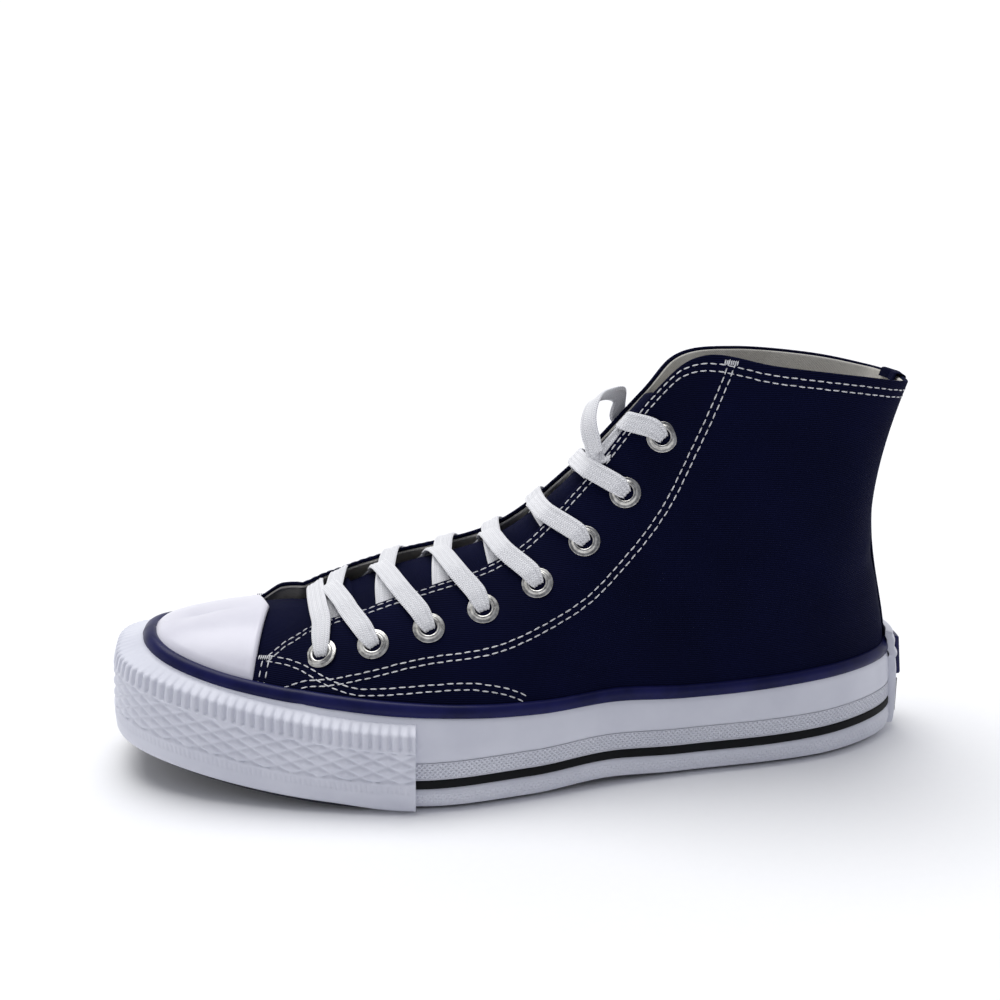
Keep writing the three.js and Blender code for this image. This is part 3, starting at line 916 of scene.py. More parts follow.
@dataclass(frozen=True)
class Rubber(Finish):
    """Vulcanised rubber: smooth, faintly clouded, with a fine skin of pores."""

    name: str = "white_rubber"
    deep: Colour = (0.63, 0.64, 0.72)
    lit: Colour = (0.69, 0.70, 0.775)
    roughness: float = 0.42
    pores: float = 0.02
    coat: float = 0.0
    specular: float = 0.4

    def build(self) -> bpy.types.Material:
        """Makes the material.

        Returns:
            The material.
        """
        s = Shader(self.name)
        cloud = s.noise(22.0, 4.0)
        skin = s.noise(0.9, 3.0, 0.6)
        smear = s.noise(6.0, 5.0, 0.65)
        return s.finish(
            Base_Color=s.mix((cloud * 0.7 + smear * 0.3).ramp(0.3, 0.65), self.deep, self.lit),
            Roughness=self.roughness - 0.06 + smear * 0.12,
            Normal=s.bump(skin * 0.6 + smear * 0.4, self.pores),
            Coat_Weight=self.coat,
            Coat_Roughness=0.18,
            Specular_IOR_Level=self.specular,
        )


@dataclass(frozen=True)
class Metal(Finish):
    """Polished nickel with a hand-worn haze."""

    name: str = "polished_nickel"
    deep: Colour = (0.36, 0.35, 0.33)
    lit: Colour = (0.66, 0.65, 0.62)

    def build(self) -> bpy.types.Material:
        """Makes the material.

        Returns:
            The material.
        """
        s = Shader(self.name)
        haze = s.noise(1.6, 4.0)
        scratch = s.noise(0.5, 5.0, 0.7)
        return s.finish(
            Base_Color=s.mix(haze.ramp(0.3, 0.7), self.deep, self.lit),
            Metallic=1.0,
            Roughness=0.2 + haze * 0.18,
            Normal=s.bump(scratch, 0.02),
        )


@dataclass(frozen=True)
class Woven(Finish):
    """Flat woven lace: a herringbone of fine cotton yarns."""

    name: str = "lace_cotton"
    deep: Colour = (0.60, 0.60, 0.63)
    lit: Colour = (0.93, 0.93, 0.95)
    yarn: float = 0.85
    depth: float = 0.22

    def build(self) -> bpy.types.Material:
        """Makes the material.

        Returns:
            The material.
        """
        s = Shader(self.name)
        along, across = s.cloth()
        slant = (across * (math.pi / 1.9)).sine().absolute() * 1.1
        plait = ((along + slant) * (2 * math.pi / self.yarn)).sine() * 0.5 + 0.5
        yarns = (across * (2 * math.pi / 0.62)).sine() * 0.5 + 0.5
        weave = plait * 0.65 + yarns * 0.35
        fuzz = s.noise(0.4, 4.0, 0.7)
        return s.finish(
            Base_Color=s.mix((weave * 0.7 + fuzz * 0.3).ramp(0.1, 0.6), self.deep, self.lit),
            Roughness=0.9 - weave * 0.1,
            Normal=s.bump(weave * 0.85 + fuzz * 0.15, self.depth),
            Sheen_Weight=0.2,
            Sheen_Roughness=0.5,
            Specular_IOR_Level=0.2,
        )


CANVAS = Canvas()
LINING = Cotton()
SOCK = Cotton(name="insole_cotton", deep=(0.48, 0.46, 0.42), lit=(0.74, 0.72, 0.68), pitch=1.4)
THREAD = Cotton(name="white_thread", deep=(0.50, 0.50, 0.52), lit=(0.84, 0.84, 0.86), pitch=0.5, depth=0.05)
WHITE_RUBBER = Rubber()
CAP_RUBBER = Rubber(
    name="cap_rubber", deep=(0.66, 0.65, 0.725), lit=(0.71, 0.70, 0.775), roughness=0.34, coat=0.1)
PIPING_RUBBER = Rubber(
    name="piping_rubber", deep=(0.004, 0.0055, 0.040), lit=(0.012, 0.013, 0.085), roughness=0.34, coat=0.04,
    specular=0.12)
STRIPE_RUBBER = Rubber(
    name="stripe_rubber", deep=(0.003, 0.0035, 0.004), lit=(0.006, 0.0065, 0.008), roughness=0.6,
    specular=0.12)
SOLE_RUBBER = Rubber(
    name="sole_rubber", deep=(0.004, 0.004, 0.012), lit=(0.012, 0.012, 0.030), roughness=0.65, pores=0.06)
NICKEL = Metal()
LACE = Woven()


# ---- Upper ----

QUARTER_OUT = 0.6
QUARTER_IN = -0.7
VAMP_OUT = -0.8

# The quarters' edge beside the throat, past the last free rib: how far up each rib it lies
EDGE = np.array([
    # rib, share
    [8.4, 1.0],
    [9.1, 0.977],
    [9.5, 0.935],
    [9.96, 0.864],
    [10.57, 0.80],
    [10.99, 0.753],
    [11.23, 0.697],
    [11.39, 0.65],
    [12.0, 0.60],
])

# How far the quarters' edge stands off beside the throat
FLARE = np.array([
    # rib, lateral, medial
    [0, 0, 0],
    [4.0, 0.0, 0.0],
    [5.2, 0.4, 0.6],
    [8.0, 0.4, 1.4],
    [9.0, 0.3, 2.8],
    [9.7, 0.3, 4.2],
    [10.5, 0.2, 5.0],
    [11.0, 0.1, 5.0],
    [11.35, 0, 2.8],
    [11.6, 0, 0.8],
    [15, 0, 0],
])
FLARE_REACH = 9.0


@dataclass(frozen=True)
class Crease:
    """A soft trough beside a soft ridge, along a line drawn on the upper."""

    side: int
    line: Tuple[Tuple[float, float], ...]
    depth: float
    width: float

    def height(self, points: Array) -> Array:
        """Height of the crease at points of the surface.

        Args:
            points: a grid of points.

        Returns:
            The heights, in mm.
        """
        marks = np.array(self.line)
        dense = between(marks, np.linspace(0, len(marks) - 1, 24))
        path, _, _ = LAST.frame_at(dense[:, 0], dense[:, 1], self.side)
        away = np.linalg.norm(points[..., None, :] - path, axis=-1)
        near = away.argmin(axis=-1)
        distance = away.min(axis=-1)
        taper = np.sin(np.pi * np.clip((near + 0.5) / len(path), 0, 1)) ** 0.7
        trough = np.exp(-((distance / self.width) ** 2))
        ridge = np.exp(-(((distance - 1.7 * self.width) / self.width) ** 2))
        return self.depth * taper * (0.45 * ridge - trough)


# rib and share marks, depth and width of the creases that both sides have
SHARED_CREASES = (
    # ankle, behind the top eyelets
    (((4.6, 0.62), (3.4, 0.55), (2.2, 0.52)), 0.9, 7.0),
    (((5.0, 0.50), (3.6, 0.36), (2.4, 0.30)), 0.8, 8.0),
    # back of the heel above the counter
    (((0.2, 0.55), (1.0, 0.50), (1.9, 0.56)), 0.7, 6.0),
    # forefoot, where the toes bend
    (((9.6, 0.74), (9.3, 0.62), (9.1, 0.50)), 0.5, 4.5),
)
CREASES = (
    *(Crease(side, *marks) for side in (LATERAL, MEDIAL) for marks in SHARED_CREASES),
    # instep, below the facing
    Crease(LATERAL, ((6.4, 0.62), (5.8, 0.45), (5.5, 0.32)), 0.6, 6.0),
    Crease(LATERAL, ((7.6, 0.66), (7.2, 0.50), (7.0, 0.36)), 0.5, 5.0),
    Crease(MEDIAL, ((7.0, 0.66), (6.5, 0.50), (6.2, 0.36)), 0.6, 6.0),
)


def crease_height(points: Array, signed: Array) -> Array:
    """Height of all creases at a grid of points whose rows are at signed ribs.

    Args:
        points: a grid of points.
        signed: signed rib numbers.

    Returns:
        The heights, in mm.
    """
    total = np.zeros(points.shape[:-1])
    for crease in CREASES:
        rows = np.sign(signed + 1e-9) == crease.side
        total[rows] += crease.height(points[rows])
    return total


def edge_share(place: Array) -> Array:
    """Share of each rib where the quarters end."""
    place = np.abs(place)
    return np.where(place <= EDGE[0, 0], 1.0, lookup(EDGE, 1, place))


@dataclass
class Panel:
    """A grid over the upper's surface that ends at the quarters' edge, at chosen distances from it."""

    front: float = 11.75
    columns: int = 142
    body_rows: int = 38
    under: float = 2.5
    margin: float = 0.0
    near_edge: Tuple[float, ...] = (11, 8.5, 6.5, 5, 3.8, 2.8, 2.0, 1.4, 0.95, 0.6, 0.35, 0.16, 0.05, 0.0)

    def signed_places(self) -> Array:
        """Signed ribs of the rows, from the medial front round the heel to the lateral front.

        Returns:
            Signed rib numbers.
        """
        along = np.linspace(0, along_of(self.front), self.columns)
        places = place_of(along)
        return np.concatenate([-places[:0:-1], places])

    def shares(self, signed: Array) -> Tuple[Array, Array]:
        """Shares of each rib, and the distances of those points from the quarters' edge.

        Args:
            signed: signed rib numbers.

        Returns:
            Shares and distances, a row for each rib.
        """
        share, distance = [], []
        for side in (MEDIAL, LATERAL):
            places = np.abs(signed[np.sign(signed + 1e-9) == side])
            samples, run = LAST.lengths(places, side)
            low = foxing_share(places, side)
            high = edge_share(places)
            for row, a, b in zip(run, low, high):
                start = np.interp(a, samples, row) - self.under
                end = np.interp(b, samples, row) - self.margin
                near = np.array(self.near_edge) * min(1.0, 0.6 * (end - start) / self.near_edge[0])
                body = np.linspace(end - start, near[0], self.body_rows, endpoint=False)
                away = np.concatenate([body, near])
                share.append(np.interp(end - away, row, samples))
                distance.append(away)
        return np.array(share), np.array(distance)

    def base(self) -> Tuple[Array, Array, Array, Array]:
        """Signed ribs, points, normals and distances from the edge of the grid.

        Returns:
            The four arrays.
        """
        signed = self.signed_places()
        share, distance = self.shares(signed)
        points = LAST.wrap(signed[:, None] + 0 * share, share)
        normals = normals_of(points)
        if (normals[len(normals) // 2, :, 0]).mean() > 0:
            normals = -normals
        return signed, points, normals, distance


def flare_height(signed: Array, distance: Array) -> Array:
    """How far the cloth stands off near the throat's edge.

    Args:
        signed: signed rib numbers.
        distance: distances from the quarters' edge.

    Returns:
        The heights, in mm.
    """
    place = np.abs(signed)
    reach = np.where(signed >= 0, lookup(FLARE, 1, place), lookup(FLARE, 2, place))
    return reach[:, None] * np.exp(-((distance / FLARE_REACH) ** 2))


@dataclass
class Upper:
    """Canvas quarters, lining, vamp and heel stay."""

    rounding: float = 0.65
    lining_out: float = -0.75
    lining_in: float = -1.7
    lining_margin: float = 0.9
    vamp_from: float = 8.9
    vamp_thick: float = 1.1
    stay_half: float = 6.5
    stay_out: float = 1.45
    stay_in: float = 0.5
    stay_fold: float = 3.0
    vamp_rows: int = 120
    vamp_columns: int = 151
    stay_rows: int = 90
    stay_columns: int = 25
    rib_points: int = 140

    def sheet(self, panel: Panel, name: str, top: float, bottom: float, finish: Finish, slot: Slot,
              replaces: Sequence[str] = ()) -> bpy.types.Object:
        """A sewn layer over the whole foot, between two heights over the surface.

        Args:
            panel: its grid.
            name: the piece's name.
            top: height of its outer face.
            bottom: height of its inner face.
            finish: its finish.
            slot: the record's material slot.
            replaces: CAD nodes that it stands for.

        Returns:
            The piece.
        """
        signed, points, normals, distance = panel.base()
        middle, half = (top + bottom) / 2, (top - bottom) / 2
        relief = crease_height(points, signed) + flare_height(signed, distance)
        round_off = half * round_edge(distance, self.rounding)
        shifted = points + normals * (relief + middle)[..., None]
        outer = shifted + normals * round_off[..., None]
        inner = shifted - normals * round_off[..., None]
        return layer(name, outer, inner, cloth_map(points), 75,
                     slot, finish, replaces)

    def cross_section(self, place: float, count: int, low: float = 0.0) -> Array:
        """One line over the foot from the lateral side to the medial, bridging any gap.

        Args:
            place: the rib.
            count: how many points.
            low: the share of the ribs where it starts and ends.

        Returns:
            The points, evenly spaced.
        """
        share = np.linspace(low, 1, self.rib_points)
        near = LAST.surface(np.full(self.rib_points, place), share, LATERAL)
        far = LAST.surface(np.full(self.rib_points, place), share, MEDIAL)
        width = np.linalg.norm(near[-1] - far[-1])
        points = [near]
        if width > 0.2:
            reach = 0.36 * width
            first = near[-1] + unit(near[-1] - near[-3]) * reach
            second = far[-1] + unit(far[-1] - far[-3]) * reach
            t = np.linspace(0, 1, 42)[1:-1, None]
            bridge = (near[-1] * (1 - t) ** 3 + 3 * first * t * (1 - t) ** 2
                      + 3 * second * t * t * (1 - t) + far[-1] * t**3)
            points.append(bridge)
        points.append(far[::-1])
        return resample(np.concatenate(points), count)

    def vamp(self) -> bpy.types.Object:
        """The front of the upper, under the quarters' edges and the toe cap.

        Returns:
            The piece.
        """
        along = np.concatenate([np.linspace(along_of(self.vamp_from), 0.99, self.vamp_rows), [0.997, 1.0]])
        places = place_of(along)
        lines = np.array([self.cross_section(p, self.vamp_columns) for p in places])
        normals = normals_of(lines)
        if normals[0, self.vamp_columns // 2, 2] < 0:
            normals = -normals
        normals[-1] = unit(normals[-1] + normals[-1, ::-1] * [1, -1, 1])
        back = np.linalg.norm(lines - lines[0], axis=-1)
        round_off = self.vamp_thick / 2 * round_edge(back, self.rounding)
        middle = VAMP_OUT - self.vamp_thick / 2
        outer = lines + normals * (middle + round_off)[..., None]
        inner = lines + normals * (middle - round_off)[..., None]
        return layer("vamp", outer, inner, cloth_map(lines), 75,
                     Slot.CANVAS, CANVAS)

    def heel_stay(self) -> bpy.types.Object:
        """The canvas strip over the back seam, folded over the collar.

        Returns:
            The piece.
        """
        share = np.linspace(float(foxing_share(np.array([0.0]), LATERAL)[0]), 1, self.stay_rows)
        across = np.linspace(-1, 1, self.stay_columns)
        first, seam = LAST.surface(1.0, share, LATERAL), LAST.surface(0.0, share, LATERAL)
        span = np.linalg.norm(first - seam, axis=-1)
        signed = across[None, :] * (self.stay_half / span)[:, None]
        points = LAST.wrap(signed, share[:, None] + 0 * signed)
        normals = -normals_of(points)
        if normals[:, self.stay_columns // 2, 0].mean() > 0:
            normals = -normals
        edge = self.stay_half * (1 - np.abs(across))
        half = (self.stay_out - self.stay_in) / 2 * round_edge(edge, 0.8)
        middle = (self.stay_out + self.stay_in) / 2
        outer = points + normals * (middle + half)[None, :, None]
        inner = points + normals * (middle - half)[None, :, None]
        fold = np.linspace(0, 1, 24)[1:]
        turn = np.minimum(fold * 2.2, 1) * np.pi
        down = np.maximum(0, fold - 0.45) / 0.55 * self.stay_fold
        over, under = [], []
        top, out = points[-1], normals[-1]
        rise = unit(points[-1] - points[-3])
        for angle, fall in zip(turn, down):
            for face, height in ((over, middle + half), (under, middle - half)):
                swing = np.cos(angle) * height[:, None] - (1 - np.cos(angle)) * 0.9
                lift = np.sin(angle) * (0.4 * height[:, None] + 0.2) - fall
                face.append(top + out * swing + rise * lift)
        outer = np.concatenate([outer, np.array(over)])
        inner = np.concatenate([inner, np.array(under)])
        return layer("heel_stay", outer, inner, cloth_map(outer), 60,
                     Slot.CANVAS, CANVAS)

    def build(self) -> None:
        """Builds and dresses the layers."""
        self.sheet(Panel(), "quarters", QUARTER_OUT, QUARTER_IN, CANVAS, Slot.CANVAS, ["upper"])
        lining = Panel(front=11.6, body_rows=30, margin=self.lining_margin)
        self.sheet(lining, "quarter_lining", self.lining_out, self.lining_in, LINING, Slot.LINING)
        self.vamp()
        self.heel_stay()


@dataclass
class Tongue:
    """Canvas tongue under the facings, a little padded, bound at its end."""

    top: float = 5.1
    toe: float = 9.35
    under: float = 15.0
    depth: float = 3.3
    shallow: float = 1.5
    thickness: float = 2.2
    rows: int = 110
    columns: int = 61
    fine: int = 241

    def build(self) -> None:
        """Builds and dresses the tongue."""
        upper = Upper()
        places = np.linspace(self.toe, self.top, self.rows)
        lines = []
        for place in places:
            line = upper.cross_section(float(place), self.fine, low=0.4)
            middle = len(line) // 2
            near = LAST.surface(place, 1.0, LATERAL)
            far = LAST.surface(place, 1.0, MEDIAL)
            run = lengths_along(line)
            half = np.linalg.norm(near - far) / 2 + self.under
            wanted = np.linspace(run[middle] - half, run[middle] + half, self.columns)
            lines.append(np.stack([np.interp(wanted, run, line[:, k]) for k in range(3)], -1))
        points = np.array(lines)
        normals = normals_of(points)
        if normals[self.rows // 2, self.columns // 2, 2] < 0:
            normals = -normals
        drop = self.shallow + (self.depth - self.shallow) * ease((self.toe - places) / 0.7)
        across = np.linspace(-1, 1, self.columns)
        run = np.linalg.norm(points - points[-1], axis=-1)
        width = np.linalg.norm(points[:, 0] - points[:, -1], axis=-1)
        side_in = (1 - np.abs(across))[None, :] * width[:, None] / 2
        away = np.minimum(run, side_in)
        half = self.thickness / 2 * round_edge(away, 1.1) * (0.8 + 0.2 * (1 - across**2))
        middle = -(drop[:, None] + self.thickness / 2) + 0 * half
        outer = points + normals * (middle + half)[..., None]
        inner = points + normals * (middle - half)[..., None]
        layer("tongue_canvas", outer, inner, cloth_map(points), 70,
              Slot.CANVAS, CANVAS, ["tongue"])


@dataclass
class ToeCap:
    """Moulded rubber cap with a lip along its back edge."""

    thickness: float = 1.15
    lip: float = 0.18
    lip_at: float = 1.6
    lip_width: float = 1.2
    back: float = 11.5
    sweep: float = 0.1
    tuck: float = 4.0
    columns: int = 141

    def build(self) -> None:
        """Builds and dresses the cap."""
        edge = np.linspace(0, 0.12, 22) ** 1.4 / 0.12**0.4
        steps = np.concatenate([edge, np.linspace(0.12, 0.985, 64)[1:], [0.995, 1.0]])
        count = self.columns
        fraction = np.linspace(-1, 1, count)
        start = self.back + self.sweep * np.abs(fraction) ** 2.2
        grid = []
        for t in steps:
            along = along_of(start) + (1 - along_of(start)) * t
            place = place_of(along)
            line = np.empty((count, 3))
            for side in (LATERAL, MEDIAL):
                pick = fraction <= 0 if side == LATERAL else fraction > 0
                low = foxing_share(place[pick], side)
                share = 1 - np.abs(fraction[pick]) * (1 - low)
                line[pick] = LAST.surface(place[pick], share, side)
            grid.append(line)
        points = np.array(grid)
        normals = normals_of(points)
        if normals[20, count // 2, 2] < 0:
            normals = -normals
        normals[-1] = unit(normals[-1] + normals[-1, ::-1])
        ahead = np.linalg.norm(np.diff(points, axis=0), axis=-1)
        run = np.concatenate([np.zeros((1, count)), np.cumsum(ahead, axis=0)])
        lip = self.lip * np.exp(-(((run - self.lip_at) / self.lip_width) ** 2))
        rise = np.linalg.norm(np.diff(points, axis=1), axis=-1)
        up = np.concatenate([np.zeros((len(points), 1)), np.cumsum(rise, axis=1)], axis=1)
        inward = np.minimum(up, up[:, -1:] - up)
        tucked = 0.25 + 0.75 * ease((inward - PIPING_WIDTH + 1.2) / self.tuck)
        full = (self.thickness + lip) * round_edge(run, 1.3) * tucked
        outer = points + normals * (GAP + full)[..., None]
        inner = points + normals * GAP * 0.2
        layer("toe_cap_rubber", outer, inner, cloth_map(points), 70,
              Slot.WHITE_RUBBER, CAP_RUBBER, ["toe_cap"])


# ---- Sole ----

# Pinstripe above the underside
STRIPE = np.array([
    # along, bottom, top
    [0, 11, 14.6],
    [0.1, 9.6, 13.2],
    [0.25, 8.4, 12.0],
    [0.5, 8.6, 12.0],
    [0.75, 7.4, 10.8],
    [1, 7.4, 10.8],
])
BAND_HEIGHT = 6.4
BUMPER_FROM = 0.627
WALL_FOOT = 0.8


def ring_stations(count: int) -> List[Tuple[int, Array]]:
    """Both sides' shares of the outline: lateral from heel to toe, then medial back."""
    shares = np.linspace(0, 1, count)
    return [(LATERAL, shares), (MEDIAL, shares[-2:0:-1])]


@lru_cache(maxsize=None)
def top_reach(side: int) -> Tuple[Array, Array]:
    """Shares of one side's outline, and the foxing's reach past the footprint at its upper edge there.

    Args:
        side: LATERAL or MEDIAL.

    Returns:
        The shares and the reaches.
    """
    along = np.linspace(0, 1, 161)
    place = place_of(along)
    point, normal, _ = LAST.frame_at(place, foxing_share(place, side), side)
    edge = point + normal * 2.3 - LAST.foot(along, side, 0, 0)
    return along, (edge * LAST.outward(along, side)).sum(axis=-1)


def wall_section(along: float, side: int, heights: Array) -> Array:
    """Offsets of the foxing's wall from the footprint at heights above the underside.

    Args:
        along: share of the side's outline.
        side: LATERAL or MEDIAL.
        heights: heights above the underside.

    Returns:
        The offsets.
    """
    top_height = float(lookup(HEIGHTS, 1, along))
    reach = float(np.interp(along, *top_reach(side)))
    rows = np.array([
        [WALL_FOOT, 2.4],
        [WALL_FOOT + 1.8, 3.9],
        [8.0, 4.3],
        [top_height * 0.72, 3.8],
        [top_height, reach],
        [top_height + 2.0, reach - 1.3],
    ])
    return lookup(rows, 1, heights)


@dataclass(frozen=True)
class FoxingRubber(Rubber):
    """White rubber whose band above the pinstripe and base below it carry a fine lattice."""

    name: str = "foxing_rubber"
    pitch: float = 1.75
    depth: float = 0.6

    def build(self) -> bpy.types.Material:
        """Makes the material.

        Returns:
            The material.
        """
        s = Shader(self.name)
        along, zone = s.cloth()
        up = zone * BAND_HEIGHT
        rising = ((along + up) * (math.pi / self.pitch)).sine().absolute()
        falling = ((along - up) * (math.pi / self.pitch)).sine().absolute()
        lattice = rising.most(falling)
        band = zone.ramp(2.02, 2.1) * (1 - zone.ramp(2.92, 2.99))
        base = zone.ramp(0.25, 0.4) * (1 - zone.ramp(0.75, 0.9)) * 0.5
        relief = lattice * (band + base)
        cloud = s.noise(22.0, 4.0)
        speckle = s.noise(1.2, 5.0, 0.7)
        # painted shade: the foot of the wall, next to the floor, is mixed towards grey, broken up by speckle
        # noise
        low = (1 - zone.ramp(0.0, 0.8)) * speckle.ramp(0.45, 0.7)
        # painted shade: the colour follows the lattice's relief, darker in its grooves and lighter on its
        # ridges
        tone = (cloud + relief * 0.25 - band * 0.2).ramp(0.3, 0.65)
        unshaded_tone = s.mix(tone, self.deep, self.lit)
        return s.finish(
            # painted shade near the floor: up to a quarter of the way to this grey
            Base_Color=s.mix(low * 0.25, unshaded_tone, (0.36, 0.36, 0.38)),
            Roughness=self.roughness + relief * 0.1 + cloud * 0.08,
            Normal=s.bump(relief * 0.9 + speckle * 0.06, self.depth),
            Specular_IOR_Level=0.5,
        )


@dataclass
class Sidewall:
    """Foxing with its pinstripe and bands, and the piping over its upper edge."""

    columns: int = 270
    bulge: float = 0.85
    band_rows: Tuple[int, ...] = (18, 8, 12, 14)
    stripe_out: float = 0.22
    stripe_columns: int = 220
    stripe_rows: int = 9
    piping_height: float = 2.35
    piping_rows: int = 19

    def zones(self, along: float) -> Array:
        """Heights of the foxing's bands from the bottom up."""
        low, high = (float(lookup(STRIPE, k, along)) for k in (1, 2))
        return np.array([WALL_FOOT, low, high, high + BAND_HEIGHT, float(lookup(HEIGHTS, 1, along)) + 1.6])

    def relief(self, zone: Array) -> Array:
        """What the bands add to the wall: 0 to 1 is the base, 1 to 2 the stripe, 2 to 3 the band.

        Args:
            zone: band numbers.

        Returns:
            The heights, in mm.
        """
        base = self.bulge * np.sin(np.pi * np.clip(zone, 0, 1)) ** 0.6
        step = 0.28 * np.exp(-(((zone - 1.0) / 0.07) ** 2)) + 0.2 * np.exp(-(((zone - 2.0) / 0.07) ** 2))
        ledge = 0.25 * np.exp(-(((zone - 3.0) / 0.03) ** 2))
        return base - step - ledge

    def foxing(self) -> bpy.types.Object:
        """The wall round the whole shoe.

        Returns:
            The piece.
        """
        bands = [np.linspace(k, k + 1, count)[1:] for k, count in enumerate(self.band_rows)]
        zone = np.concatenate([[0.0], *bands])
        rows, uv = [], []
        run = 0.0
        last = None
        for side, shares in ring_stations(self.columns):
            for share in shares:
                marks = self.zones(share)
                heights = np.interp(zone, np.arange(5), marks)
                off = wall_section(share, side, heights) + self.relief(zone)
                outer = LAST.foot(np.full(len(zone), share), side, off, heights)
                inner = LAST.foot(np.full(len(zone), share), side, np.minimum(off - 1.2, 0.6), heights)
                if last is not None:
                    run += float(np.linalg.norm(outer[0] - last))
                last = outer[0]
                rows.append(np.stack([outer, inner]))
                uv.append(np.stack([np.full(len(zone), run), zone], -1))
        rows, uv = np.array(rows), np.array(uv)
        return layer("foxing_wall", rows[:, 0], rows[:, 1], uv, 60,
                     Slot.WHITE_RUBBER, FoxingRubber(), ["foxing"], ring=True)

    def pinstripe(self) -> bpy.types.Object:
        """The dark line round the foxing, from one end of the toe bumper to the other.

        Returns:
            The piece.
        """
        shares = np.linspace(0, BUMPER_FROM + 0.01, self.stripe_columns)
        signed = [(MEDIAL, s) for s in shares[:0:-1]] + [(LATERAL, s) for s in shares]
        profile = np.linspace(0.04, 0.96, self.stripe_rows)
        outer, inner = [], []
        for side, share in signed:
            low, high = (float(lookup(STRIPE, k, share)) for k in (1, 2))
            heights = low + (high - low) * profile
            off = wall_section(share, side, heights) + 0.02
            crown = self.stripe_out * round_edge(np.minimum(profile - 0.04, 0.96 - profile) * 3.4, 0.7)
            outer.append(LAST.foot(np.full(self.stripe_rows, share), side, off + crown, heights))
            inner.append(LAST.foot(np.full(self.stripe_rows, share), side, off - 0.5, heights))
        outer, inner = np.array(outer), np.array(inner)
        return layer("pinstripe", outer, inner, cloth_map(outer), 60,
                     Slot.SOLE_RUBBER, STRIPE_RUBBER)

    def piping(self) -> bpy.types.Object:
        """The round-topped strip between foxing and canvas.

        Returns:
            The piece.
        """
        angle = np.linspace(0, np.pi, self.piping_rows)
        across = 0.5 - 0.5 * np.cos(angle)
        height = np.sin(angle) ** 0.75 * self.piping_height + 0.25
        rows = []
        for side, shares in ring_stations(self.columns):
            places = place_of(shares)
            low, high = foxing_share(places, side), piping_share(places, side)
            share = low[:, None] + (high - low)[:, None] * (across * 0.98 + 0.01)[None, :]
            point, normal, _ = LAST.frame_at(places[:, None] + 0 * share, share, side)
            rows.append(np.stack([point + normal * height[None, :, None], point - normal * 0.2], axis=1))
        rows = np.concatenate(rows)
        return layer("piping_strip", rows[:, 0], rows[:, 1], cloth_map(rows[:, 0]), 60,
                     Slot.NAVY_RUBBER, PIPING_RUBBER, ["piping"], ring=True)

    def build(self) -> None:
        """Builds and dresses the sidewall."""
        self.foxing()
        self.pinstripe()
        self.piping()


